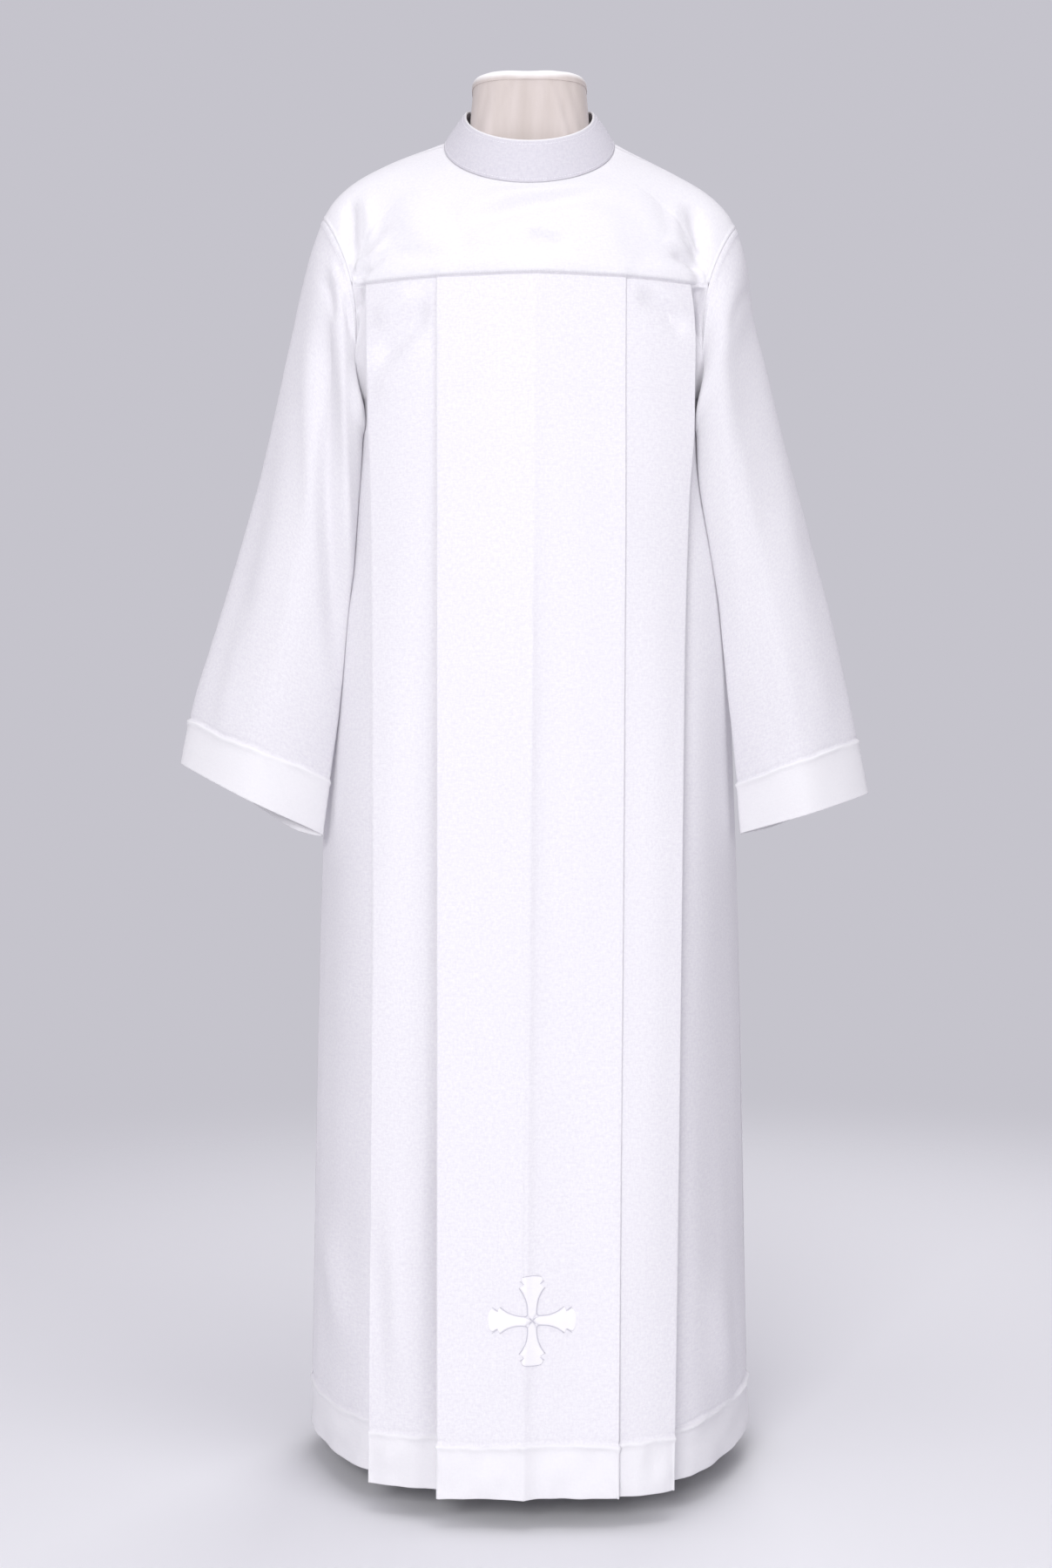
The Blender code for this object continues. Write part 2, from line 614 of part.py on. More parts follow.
def cross_strips():
    """Grids of (u, v) points: the middle square and the four arms that widen to bowed tips."""
    across = [-1.0, -0.5, 0.0, 0.5, 1.0]
    strips = [[[(c * CROSS_WAIST, r * CROSS_WAIST) for c in across] for r in across]]
    arm = []
    for k in range(CROSS_ARM_STEPS + 1):
        s = k / CROSS_ARM_STEPS
        half = lerp(CROSS_WAIST, CROSS_FLARE, s * s)
        bow = CROSS_TIP_BOW * s**4
        arm.append([
            (lerp(CROSS_WAIST, CROSS_HALF - CROSS_TIP_BOW, s) + bow * (1 - c * c), half * c) for c in across
        ])
    for cosine, sine in ((1, 0), (0, 1), (-1, 0), (0, -1)):
        strips.append([[(x * cosine - y * sine, x * sine + y * cosine) for x, y in row] for row in arm])
    return strips


def build_cross(material, collection):
    bm = bmesh.new()
    for row_set in cross_strips():
        grid = []
        for row in row_set:
            line = []
            for u, v in row:
                x = CROSS_CENTRE[0] + u
                z = CROSS_CENTRE[1] + v
                crease = crease_x(z)
                size = row_at(FRONT_LEFT if x < crease else FRONT_RIGHT, z)
                side = -1 if x < crease else 1
                s = (side * x - side * crease) / (size["edge1_x"] - side * crease)
                y = middle_y(size, s) - WALL / 2 - CROSS_GAP
                line.append(bm.verts.new((x, y, z)))
            grid.append(line)
        for near, far in zip(grid, grid[1:]):
            for j in range(len(near) - 1):
                cell(bm, near[j], far[j], far[j + 1], near[j + 1])
    bmesh.ops.remove_doubles(bm, verts=bm.verts, dist=1e-5)
    bmesh.ops.recalc_face_normals(bm, faces=bm.faces)
    raised = bmesh.ops.extrude_face_region(bm, geom=list(bm.faces), use_keep_orig=True)
    lifted = [item for item in raised["geom"] if isinstance(item, bmesh.types.BMVert)]
    bmesh.ops.translate(bm, verts=lifted, vec=(0, -CROSS_THICK, 0))
    return new_object("cross", mesh_from(bm, "cross"), material, collection)


def form_gap(theta):
    """Room between the cloth's middle and the form: close on the shoulders, open on the chest."""
    from_shoulder = abs(abs(math.degrees(math.remainder(theta, 2 * math.pi))) - 90)
    rest = WALL / 2 + FORM_SHOULDER_GAP
    return lerp(rest, FORM_CHEST_GAP, smooth(*FORM_REST_ANGLES, from_shoulder))


def build_form(left, right, material, collection):
    front = yoke_spokes(-1, left, right)
    back = yoke_spokes(1, left, right)[1:-1]
    columns = front + back
    thetas = [column[0] for column in columns]
    shoulder = yoke_grid(columns, YOKE_STEPS)
    normals = unit_normals(shoulder, True)
    flip = -1 if normals[3][len(front) // 2].y > 0 else 1
    rings = []
    for z, dip, half_width, half_depth in NECK_RINGS:
        rings.append([
            Vector((half_width * math.sin(a), -half_depth * math.cos(a), z - dip * (1 + math.cos(a)) / 2))
            for a in thetas
        ])
    for i, row in enumerate(shoulder[:-1]):
        rings.append([
            p - n.normalized() * (flip * form_gap(a)) for p, n, a in zip(row, normals[i], thetas)
        ])
    neck_base = rings[len(NECK_RINGS)]
    for j, a in enumerate(thetas):
        inward = Vector((-math.sin(a), math.cos(a), 0)) * FORM_NECK_GAP
        neck_base[j] = neck_point(a) + inward - Vector((0, 0, FORM_NECK_DROP))
    for z, lift, half_width, half_depth in FORM_RINGS:
        rings.append([
            Vector((half_width * math.sin(a), -half_depth * math.cos(a), z + lift * math.sin(a)**2))
            for a in thetas
        ])
    bm = bmesh.new()
    grid = [[bm.verts.new(p) for p in ring] for ring in rings]
    count = len(thetas)
    for upper, lower in zip(grid, grid[1:]):
        for j in range(count):
            k = (j + 1) % count
            cell(bm, upper[j], lower[j], lower[k], upper[k])
    bm.faces.new(grid[0])
    bm.faces.new(grid[-1])
    return new_object("dress_form", mesh_from(bm, "dress_form"), material, collection)


def turned(name, profile, steps, material, collection):
    """A turned solid from its outer profile, top to bottom, closed on the axis."""
    data = bpy.data.meshes.new(name)
    points = [(0, 0, profile[0][1])] + [(r, 0, z) for r, z in profile] + [(0, 0, profile[-1][1])]
    data.from_pydata(points, [(k, k + 1) for k in range(len(points) - 1)], [])
    obj = new_object(name, data, material, collection)
    screw = obj.modifiers.new("Turn", "SCREW")
    screw.axis = "Z"
    screw.steps = steps
    screw.render_steps = steps
    screw.use_merge_vertices = True
    screw.merge_threshold = 1e-5
    screw.use_smooth_shade = True
    return obj


def build_neck_cap(material, collection):
    low = NECK_RINGS[0][0] + SEAM_GAP
    rim = NECK_RINGS[0][2]
    height = NECK_CAP_TOP - low
    profile = []
    for k in range(NECK_CAP_STEPS + 1):
        a = math.radians(90 - 90 * k / NECK_CAP_STEPS)
        profile.append((rim - height + height * math.cos(a), low + height * math.sin(a)))
    return turned("neck_cap", profile, 32, material, collection)


def build_stand(material, collection):
    form_bottom = FORM_RINGS[-1][0]
    top = form_bottom - SEAM_GAP
    low = BASE_THICK + SEAM_GAP
    turned("pole", ((POLE_RADIUS, top), (POLE_RADIUS, low)), 24, material, collection)
    rim = ((BASE_RADIUS - BASE_BEVEL, BASE_THICK), (BASE_RADIUS, BASE_THICK - BASE_BEVEL), (BASE_RADIUS, 0.0))
    turned("base", rim, 40, material, collection)


def new_material(name, colour, roughness):
    material = bpy.data.materials.new(name)
    material.use_nodes = True
    shader = material.node_tree.nodes["Principled BSDF"]
    shader.inputs["Base Color"].default_value = (*colour, 1.0)
    shader.inputs["Roughness"].default_value = roughness
    return material


def clear_scene():
    for obj in list(bpy.data.objects):
        bpy.data.objects.remove(obj, do_unlink=True)


def main():
    clear_scene()
    robe = bpy.data.collections.new("alb_robe")
    bpy.context.scene.collection.children.link(robe)

    left = armhole(-1)
    right = armhole(1)
    holes = (left, right)

    front_angles = [column[0] for column in yoke_spokes(-1, left, right)]
    back_angles = [column[0] for column in yoke_spokes(1, left, right)]
    collar_cloth = new_material("collar_cloth", (0.86, 0.85, 0.90), 0.85)
    build_collar(front_angles, back_angles, collar_cloth, robe)
    yoke_cloth = new_material("yoke_cloth", (0.90, 0.89, 0.93), 0.85)
    build_yoke("yoke_front", -1, left, right, yoke_cloth, robe)
    build_yoke("yoke_back", 1, left, right, yoke_cloth, robe)
    panel_cloth = new_material("panel_cloth", (0.92, 0.91, 0.95), 0.85)
    build_panel("front_panel", -1, (FRONT_LEFT, FRONT_RIGHT), holes, panel_cloth, robe)
    build_panel("back_panel", 1, (BACK_HALF, BACK_HALF), holes, panel_cloth, robe)
    sleeve_cloth = new_material("sleeve_cloth", (0.88, 0.87, 0.92), 0.85)
    build_sleeve("sleeve_left", -1, SLEEVE_LEFT, left, sleeve_cloth, robe)
    build_sleeve("sleeve_right", 1, SLEEVE_RIGHT, right, sleeve_cloth, robe)
    build_cross(new_material("embroidery", (0.95, 0.95, 0.97), 0.6), robe)

    build_form(left, right, new_material("form_jersey", (0.80, 0.77, 0.73), 0.9), robe)
    build_neck_cap(new_material("cap_cloth", (0.93, 0.92, 0.92), 0.8), robe)
    build_stand(new_material("stand_metal", (0.80, 0.80, 0.81), 0.4), robe)


main()
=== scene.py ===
import math

import bpy
import numpy as np
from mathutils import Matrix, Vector
from mathutils.bvhtree import BVHTree


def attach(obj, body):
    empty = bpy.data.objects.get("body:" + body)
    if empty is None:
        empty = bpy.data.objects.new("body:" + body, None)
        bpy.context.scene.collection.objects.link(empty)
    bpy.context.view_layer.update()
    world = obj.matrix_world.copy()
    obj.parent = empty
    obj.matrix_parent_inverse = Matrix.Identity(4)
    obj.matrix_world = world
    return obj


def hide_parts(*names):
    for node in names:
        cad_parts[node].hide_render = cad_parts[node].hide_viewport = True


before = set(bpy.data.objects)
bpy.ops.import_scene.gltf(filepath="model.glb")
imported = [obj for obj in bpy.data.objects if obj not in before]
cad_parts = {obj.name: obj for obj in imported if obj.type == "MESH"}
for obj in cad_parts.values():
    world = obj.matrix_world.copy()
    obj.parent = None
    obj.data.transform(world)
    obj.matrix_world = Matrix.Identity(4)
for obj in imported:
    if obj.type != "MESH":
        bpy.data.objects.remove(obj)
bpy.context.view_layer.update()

mm = 0.001
quarterTurn = math.pi / 2
fullTurn = 2 * math.pi

# sizes shared by all the cut pieces, in metres
robe = {
    "cloth": 1.0 * mm,
    "hemCloth": 1.9 * mm,
    "foldRadius": 0.8 * mm,
    "hemZ": 0.029,
    "hemDeep": 0.0495,
    "underarmZ": 1.100,
    "yokeZ": 1.218,
    "seamX": 0.1834,
    "cornerX": 0.174,
    "chestDeep": 0.112,
    "chestCurve": 1.94,
}
hemTop = robe["hemZ"] + robe["hemDeep"]


def ease(low, high, value):
    # 0 at low, 1 at high, smooth in between
    s = np.clip((value - low) / (high - low), 0.0, 1.0)
    return s * s * (3 - 2 * s)


def hill(value, middle, wide):
    return np.exp(-((value - middle) / wide) ** 2)


def relief(far, sizes):
    # a ridge or trough of a set height at a set distance, with its half width
    return sizes[0] * hill(far, *sizes[1:])


def blend(a, b, s):
    return a + (b - a) * s


def unit(v):
    return v / np.maximum(np.linalg.norm(v, axis=-1, keepdims=True), 1e-12)


def bezier(p0, p1, p2, p3, t):
    u = 1 - t
    return p0 * u**3 + p1 * (3 * u * u * t) + p2 * (3 * u * t * t) + p3 * t**3


def throughPoints(stations, values, at):
    # a smooth curve through values at rising stations, read at the places in at
    stations, values = np.asarray(stations, float), np.asarray(values, float)
    slopes = np.gradient(values, stations, axis=0)
    i = np.clip(np.searchsorted(stations, at) - 1, 0, len(stations) - 2)
    wide = (len(at),) + (1,) * (values.ndim - 1)
    step = (stations[i + 1] - stations[i]).reshape(wide)
    t = (at - stations[i]).reshape(wide) / step
    t2, t3 = t * t, t**3
    first = values[i] * (2 * t3 - 3 * t2 + 1) + slopes[i] * step * (t3 - 2 * t2 + t)
    return first + values[i + 1] * (3 * t2 - 2 * t3) + slopes[i + 1] * step * (t3 - t2)


def lengthsAlong(points):
    # how far each row lies from the first, for a line or for every column of a grid
    steps = np.linalg.norm(np.diff(points, axis=0), axis=-1)
    return np.concatenate([np.zeros((1,) + steps.shape[1:]), np.cumsum(steps, axis=0)])


def smoothRow(points, rounds):
    # evens out the kinks along each row of points, but leaves two points at either end
    points = points.copy()
    for _ in range(rounds):
        points[:, 2:-2] = (points[:, 1:-3] + 2 * points[:, 2:-2] + points[:, 3:-1]) / 4
    return points


def creases(x, z, rows):
    # troughs (depth below 0) and ridges given in rows, in mm: from x0, z0 to x1, z1,
    # then half width, depth and sideways bend
    push = np.zeros_like(x)
    for x0, z0, x1, z1, width, depth, bend in np.array(rows) * mm:
        dx, dz = x1 - x0, z1 - z0
        length = math.hypot(dx, dz)
        along = ((x - x0) * dx + (z - z0) * dz) / length**2
        off = ((x - x0) * dz - (z - z0) * dx) / length - 4 * bend * along * (1 - along)
        push += depth * ease(-0.20, 0.30, along) * ease(1.20, 0.70, along) * hill(off, 0, width)
    return push


def unevenness(x, z, sizes, seed):
    # slow, irregular waves that keep a wide panel from lying dead flat;
    # sizes are their height, how much shorter they count down the cloth, and their length
    tall, drawn, pitch = sizes
    z = z * drawn
    wave = np.zeros_like(x)
    for k in range(5):
        turn = 2.39996 * k + seed  # each wave runs another way
        size = fullTurn / (pitch * (0.7 + 0.23 * k))
        wave += np.sin((x * math.cos(turn) + z * math.sin(turn)) * size + 1.7 * seed + k)
    return tall * wave / 5


# grids of points and the faces between them

def gridIndex(rows, columns, closed=False):
    index = np.arange(rows * columns).reshape(rows, columns)
    return np.concatenate([index, index[:, :1]], axis=1) if closed else index


def together(*corners):
    return np.stack([corner.ravel() for corner in corners], axis=1)


def gridFaces(index):
    return together(index[:-1, :-1], index[1:, :-1], index[1:, 1:], index[:-1, 1:])


def looksInward(points, face, outward):
    a, b, _, d = points[face]
    return np.dot(np.cross(b - a, d - a), outward) < 0


def gridNormals(middle, closed, outward, probe=None):
    # outward is roughly the way that the cloth faces at the probe's row and column
    across = np.roll(middle, -1, 1) - np.roll(middle, 1, 1) if closed else np.gradient(middle, axis=1)
    normals = unit(np.cross(across, np.gradient(middle, axis=0)))
    row, column = probe or (len(middle) // 2, middle.shape[1] // 2)
    return -normals if np.dot(normals[row, column], outward) < 0 else normals


def grainOf(middle):
    # thread directions of the cloth, in metres, so that the weave keeps its size
    down, across = (lengthsAlong(way).mean(axis=1) for way in (middle, middle.swapaxes(0, 1)))
    return np.stack(np.meshgrid(across, down), axis=2).reshape(-1, 2)


def makePiece(name, points, faces, material, grain=None, doubledOrRimHighlight=None, sharp=None):
    mesh = bpy.data.meshes.new(name)
    mesh.from_pydata(points.tolist(), [], faces)
    if grain is not None:
        corners = np.empty(len(mesh.loops), dtype=np.int64)
        mesh.loops.foreach_get("vertex_index", corners)
        layer = mesh.uv_layers.new(name="grain")
        layer.data.foreach_set("uv", grain[corners].astype(np.float32).ravel())
        mark = mesh.attributes.new("doubledOrRimHighlight", "FLOAT", "POINT")
        mark.data.foreach_set("value", doubledOrRimHighlight.astype(np.float32))
    mesh.shade_smooth()
    if sharp:
        mesh.set_sharp_from_angle(angle=math.radians(sharp))
    mesh.validate()
    mesh.materials.append(material)
    piece = bpy.data.objects.new(name, mesh)
    bpy.context.scene.collection.objects.link(piece)
    return piece


def clothShell(name, middle, normals, thick, material, closed=False, doubledOrRimHighlight=0.0):
    # a thin wall of cloth round a grid of points, closed at its rims
    rows, columns = middle.shape[:2]
    offset = normals * np.reshape(thick, (-1, 1, 1)) / 2
    points = np.concatenate([middle + offset, middle - offset]).reshape(-1, 3)
    index = gridIndex(rows, columns, closed)
    lower = rows * columns
    outside = gridFaces(index)

    def rim(edge, after):
        return together(edge, after, after + lower, edge + lower)

    top, bottom, near, far = index[0], index[-1], index[:, 0], index[:, -1]
    faces = [outside, outside[:, ::-1] + lower, rim(top[:-1], top[1:]), rim(bottom[1:], bottom[:-1])]
    if not closed:
        faces += [rim(near[1:], near[:-1]), rim(far[:-1], far[1:])]
    faces = np.concatenate(faces)
    i, j = rows // 2, columns // 2
    if looksInward(points, outside[i * (index.shape[1] - 1) + j], normals[i, j]):
        faces = faces[:, ::-1]
    doubledOrRimHighlight = np.tile(np.broadcast_to(doubledOrRimHighlight, (rows, columns)).ravel(), 2)
    return makePiece(name, points, faces.tolist(), material, np.tile(grainOf(middle), (2, 1)), doubledOrRimHighlight)


def ringTube(name, rings, material, flipped=False):
    # a solid of rings from its top to its foot, with a flat face at either end
    index = gridIndex(*rings.shape[:2], closed=True)
    quads, caps = gridFaces(index), [index[0, :-1], index[-1, :-1][::-1]]
    if flipped:
        quads, caps = quads[:, [0, 3, 2, 1]], [cap[::-1] for cap in caps]
    faces = quads.tolist() + [cap.tolist() for cap in caps]
    return makePiece(name, rings.reshape(-1, 3), faces, material, sharp=60)


# materials

def feed(tree, socket, value):
    # an output is linked to the socket, a fixed value or colour is set on it
    if isinstance(value, bpy.types.NodeSocket):
        tree.links.new(value, socket)
    else:
        socket.default_value = (*value, 1) if socket.type == "RGBA" else value


def addNode(tree, kind, inputs=None, **settings):
    node = tree.nodes.new("ShaderNode" + kind)
    for key, value in settings.items():
        setattr(node, key, value)
    for key, value in (inputs or {}).items():
        feed(tree, node.inputs[key], value)
    return node


def maths(tree, kind, first, second):
    return addNode(tree, "Math", {0: first, 1: second}, operation=kind).outputs[0]


def mixColour(tree, factor, first, second):
    return addNode(tree, "Mix", {0: factor, 6: first, 7: second}, data_type="RGBA").outputs[2]


def noise(tree, place, scale, detail, roughness=0.5):
    inputs = {"Vector": place, "Scale": scale, "Detail": detail, "Roughness": roughness}
    return addNode(tree, "TexNoise", inputs).outputs["Fac"]


def stretched(tree, place, scale):
    return addNode(tree, "Mapping", {"Vector": place, "Scale": scale}).outputs[0]


def spread(tree, value, low, high):
    return addNode(tree, "MapRange", {"Value": value, "From Min": low, "From Max": high}).outputs[0]


def newMaterial(name):
    material = bpy.data.materials.new(name)
    material.use_nodes = True
    tree = material.node_tree
    place = addNode(tree, "TexCoord").outputs["Object"]
    return material, tree, tree.nodes["Principled BSDF"], place


def finish(tree, shader, colour, height, look):
    # colour and relief, then the fixed values on the shader's own sockets
    feed(tree, shader.inputs["Base Color"], colour)
    relief = {"Strength": look["bump"], "Distance": look["bumpHeight"], "Height": height}
    feed(tree, shader.inputs["Normal"], addNode(tree, "Bump", relief).outputs[0])
    shader.inputs["Roughness"].default_value = look["roughness"]
    shader.inputs["Sheen Weight"].default_value = look["sheen"]


clothLook = {
    "roughness": 0.86,
    "sheen": 0.20,
    "specular": 0.25,
    "threadPitch": 0.85 * mm,
    "threadRelief": 1.2,
    "slubSize": 2.1 * mm,
    "slubRelief": 0.9,
    "slubShade": (0.74, 1.26),
    "cloudSize": 9.0,
    "cloudShade": 0.35,
    "bump": 0.5,
    "bumpHeight": 0.5 * mm,
    # colour of the yarn, a darker tone of it for the slubs, and the cloth where it is doubled; one white
    # cloth, but the colours differ from part to part as painted light and shade
    "panel": ((0.828, 0.819, 0.844), (0.742, 0.725, 0.772), (0.814, 0.806, 0.829)),
    # the sleeves' yarn is darker than the panels' as painted shade
    "sleeve": ((0.803, 0.795, 0.818), (0.718, 0.702, 0.748), (0.823, 0.816, 0.834)),
    # the yoke's colours are a little lighter than the panels' as painted light
    "yoke": ((0.832, 0.824, 0.845), (0.770, 0.758, 0.796), (0.838, 0.830, 0.850)),
    # the collar's colours are much darker than the panels' as painted shade; its doubled colour marks only
    # the folded top edge, as a painted highlight
    "collar": ((0.674, 0.659, 0.700), (0.589, 0.573, 0.630), (0.808, 0.802, 0.820)),
}


def wovenCloth(part, slub=1.0):
    look = clothLook
    yarnColour, shade, doubledOrRimHighlightColour = look[part]
    material, tree, shader, place = newMaterial(part + "Cloth")
    grain = addNode(tree, "UVMap", uv_map="grain").outputs[0]
    threads = []
    for direction in ("X", "Y"):
        inputs = {"Scale": math.pi / 10 / look["threadPitch"], "Distortion": 0.6, "Detail": 1.0,
                  "Detail Scale": 0.4, "Vector": grain}
        wave = addNode(tree, "TexWave", inputs, bands_direction=direction)
        threads.append(maths(tree, "SUBTRACT", wave.outputs["Fac"], 0.5))
    weave = maths(tree, "MULTIPLY", *threads)
    slubs = [noise(tree, stretched(tree, grain, way), 1 / look["slubSize"], 2.0, 0.6)
             for way in ((1.0, 0.45, 1.0), (0.45, 1.0, 1.0))]
    yarn = maths(tree, "ADD", *slubs)
    height = maths(tree, "ADD", maths(tree, "MULTIPLY", weave, look["threadRelief"]),
                   maths(tree, "MULTIPLY", yarn, look["slubRelief"] * slub))
    single = mixColour(tree, spread(tree, yarn, *look["slubShade"]), shade, yarnColour)
    cloud = maths(tree, "MULTIPLY", noise(tree, place, look["cloudSize"], 3.0), look["cloudShade"])
    single = mixColour(tree, cloud, single, shade)
    # cloth marked here takes the third colour: the doubled hem and cuff bands, and the collar's folded top,
    # where the lighter colour is a painted highlight
    mark = addNode(tree, "Attribute", attribute_name="doubledOrRimHighlight").outputs["Fac"]
    finish(tree, shader, mixColour(tree, mark, single, doubledOrRimHighlightColour), height, look)
    shader.inputs["Sheen Roughness"].default_value = 0.5
    shader.inputs["Specular IOR Level"].default_value = look["specular"]
    return material


panelCloth, sleeveCloth, yokeCloth = (wovenCloth(part) for part in ("panel", "sleeve", "yoke"))
collarCloth = wovenCloth("collar", slub=1.2)

# two colours that run softly into each other, over a fine surface
plainLooks = {
    "stitchThread": {"colours": ((0.93, 0.92, 0.95), (0.86, 0.85, 0.90)), "fine": 0.6 * mm,
                     "roughness": 0.6, "bump": 0.3, "bumpHeight": 0.4 * mm, "sheen": 0.1},
    "outlineThread": {"colours": ((0.60, 0.59, 0.65), (0.52, 0.51, 0.57)), "fine": 0.6 * mm,
                      "roughness": 0.55, "bump": 0.3, "bumpHeight": 0.4 * mm, "sheen": 0.0},
    "standPaint": {"colours": ((0.78, 0.78, 0.79), (0.70, 0.70, 0.715)), "fine": 1.2 * mm,
                   "roughness": 0.38, "bump": 0.12, "bumpHeight": 0.4 * mm, "sheen": 0.0},
}


def plainFinish(name):
    look = plainLooks[name]
    material, tree, shader, place = newMaterial(name)
    fine = noise(tree, place, 1 / look["fine"], 3.0)
    patches = noise(tree, place, 12.0, 2.0)
    share = maths(tree, "MULTIPLY", maths(tree, "MULTIPLY", fine, patches), 2.2)
    finish(tree, shader, mixColour(tree, share, *look["colours"]), fine, look)
    return material


stitchThread, outlineThread, standPaint = (plainFinish(name) for name in plainLooks)
print("materials ready")


# armholes, shared by the yokes, the panels and the sleeves

armholeSize = {
    "x": 0.1921,
    "lean": 0.0123,
    "curve": 0.0122,
    "halfDeep": 0.050,
    "fuller": 0.75,
    "tipZ": {-1: 1.2967, 1: 1.2870},
    "up": 0.557,
    "upFade": 0.143,
    "forward": 0.86,
}


def armholeMiddle(side):
    tip = armholeSize["tipZ"][side]
    return (tip + robe["underarmZ"]) / 2, (tip - robe["underarmZ"]) / 2


def armholeSeam(side):
    # the angle where the yoke's lower seam meets the armhole, from the shoulder tip
    middle, radius = armholeMiddle(side)
    return math.acos((robe["yokeZ"] - middle) / radius)


def armholePoints(side, a):
    middle, radius = armholeMiddle(side)
    size = armholeSize
    x = side * (size["x"] + size["lean"] * np.cos(a) + size["curve"] * np.cos(2 * a))
    full = np.sin(a) * (1 + size["fuller"] * np.cos(a) ** 2 * (np.cos(a) < 0))
    return np.stack([x, -size["halfDeep"] * full, middle + radius * np.cos(a)], axis=-1)


def armholeOuts(side, a):
    up = np.cos(a) * (armholeSize["up"] - armholeSize["upFade"] * np.cos(a))
    forward = -armholeSize["forward"] * np.sin(a)
    return np.stack([side * np.sqrt(1 - up**2 - forward**2), forward, up], axis=-1)


def armholeSews(side, a):
    # the way the sleeve's cloth leaves the seam
    tangent = armholePoints(side, a + 0.01) - armholePoints(side, a - 0.01)
    sews = unit(np.cross(armholeOuts(side, a), tangent))
    return np.where(sews[..., :1] * side < 0, -sews, sews)


# neck edge and yokes

neckSize = {
    "halfWidth": 0.089,
    "front": 0.080,
    "back": 0.075,
    "frontZ": 1.3168,
    "rise": 0.0588,
    "backRise": 0.014,
    "backEase": 4.2,
}
collarSize = {
    "halfWidth": 0.0665,
    "front": 0.066,
    "back": 0.064,
    "frontZ": 1.3636,
    "rise": 0.0440,
    "thick": 2.3 * mm,
    "seamDip": 0.6 * mm,
    "swell": 0.9 * mm,
    "wave": 0.25 * mm,
    "columns": 220,
    "rows": 12,
    "openingHalf": 0.15,
}
yokeSize = {
    "columns": (30, 150),
    "edgeAngle": 62.0,
    "frontFlat": (0.99, 0.45),
    "frontFall": 0.89,
    "backFlat": (0.99, 0.80),
    "backFall": 0.60,
    "shoulderFall": (0.30, 0.52),
    "leave": (0.40, 0.34),
    "arrive": 0.32,
    "shoulderOut": (0.414, 0.10),
    "shoulderDown": -0.91,
    "seamForward": 0.12,
    "seamX": (0.1834, 0.168, 0.134, 0.095, 0.062, 0.030, 0.0),
    "seamRoll": 4.8 * mm,
    "seamRollWide": 1.5 * mm,
    "seamPuff": (0.9 * mm, 11 * mm, 8 * mm),
    "seamFollow": 15 * mm,
    "overPanel": 0.6 * mm,
    "armholePress": (0.8 * mm, 3.2 * mm, 2.2 * mm),
    "armholeDip": (0.25 * mm, 0, 1.2 * mm),
    "neckDip": (0.7 * mm, 0, 3 * mm),
    "shoulderSeam": (0.35 * mm, 4 * mm, 2 * mm),
    "shoulderSeamEnd": (6 * mm, 20 * mm),
    "calm": {"seam": 12 * mm, "neck": 16 * mm, "shoulder": 12 * mm},
    "waves": (0.5 * mm, 1, 0.07),
    "leanFrom": 0.94,
    # the panel's face is read this far below the seam, over this half width
    "readBelow": 3 * mm,
    "readWide": 1.6 * mm,
    "followX": (0.183, 0.176),
    "seamSink": 0.4 * mm,
}


def fromFront(theta):
    return np.abs(np.remainder(theta + math.pi, fullTurn) - math.pi)


def edgePoint(size, theta):
    # the neck's or the collar's edge at an angle from the front
    turned = fromFront(theta)
    depth = np.where(turned <= quarterTurn, size["front"], size["back"])
    behind = neckSize["backRise"] * (1 - np.exp(-neckSize["backEase"] * np.maximum(turned - quarterTurn, 0)))
    z = size["frontZ"] + size["rise"] * (1 - np.cos(np.minimum(turned, quarterTurn))) + behind
    return np.stack([size["halfWidth"] * np.sin(theta), -depth * np.cos(theta), z], axis=-1)


def yokeLines(facing, edgeCount, middleCount):
    # angle at the neck, end point, direction there and wall direction there, from left to right
    size = yokeSize
    inner = math.radians(size["edgeAngle"])
    sides = []
    for side in (-1, 1):
        w = np.linspace(0, 1, edgeCount, endpoint=False)
        angle = blend(quarterTurn, inner, w) * side
        hole = armholeSeam(side) * w * (1 if facing < 0 else -1)
        toward = np.stack([side * blend(*size["shoulderOut"], w), facing * size["seamForward"] * w,
                           np.full_like(w, size["shoulderDown"])], axis=-1)
        sides.append((angle, armholePoints(side, hole), toward, armholeOuts(side, hole)))
    t = np.linspace(0, 1, middleCount)
    xs = np.array(size["seamX"])
    knots = np.concatenate([-xs, xs[-2::-1]])
    x = np.interp(t, np.linspace(0, 1, len(knots)), knots)
    y = facing * (robe["chestDeep"] - robe["chestCurve"] * x**2)
    ends = np.stack([x, y, np.full_like(x, robe["yokeZ"])], axis=-1)
    lean = np.sign(x) * size["shoulderOut"][1] * ease(0.150, robe["seamX"], np.abs(x))
    toward = np.stack([lean, np.full_like(x, facing * size["seamForward"]), np.full_like(x, -1.0)], axis=-1)
    wall = np.stack([0 * x, np.full_like(x, facing), 0 * x], axis=-1)
    middle = (blend(-inner, inner, t), ends, toward, wall)
    lines = [np.concatenate([left, mid, right[::-1]]) for left, mid, right in zip(sides[0], middle, sides[1])]
    if facing > 0:
        lines[0] = math.pi - lines[0]
    return lines


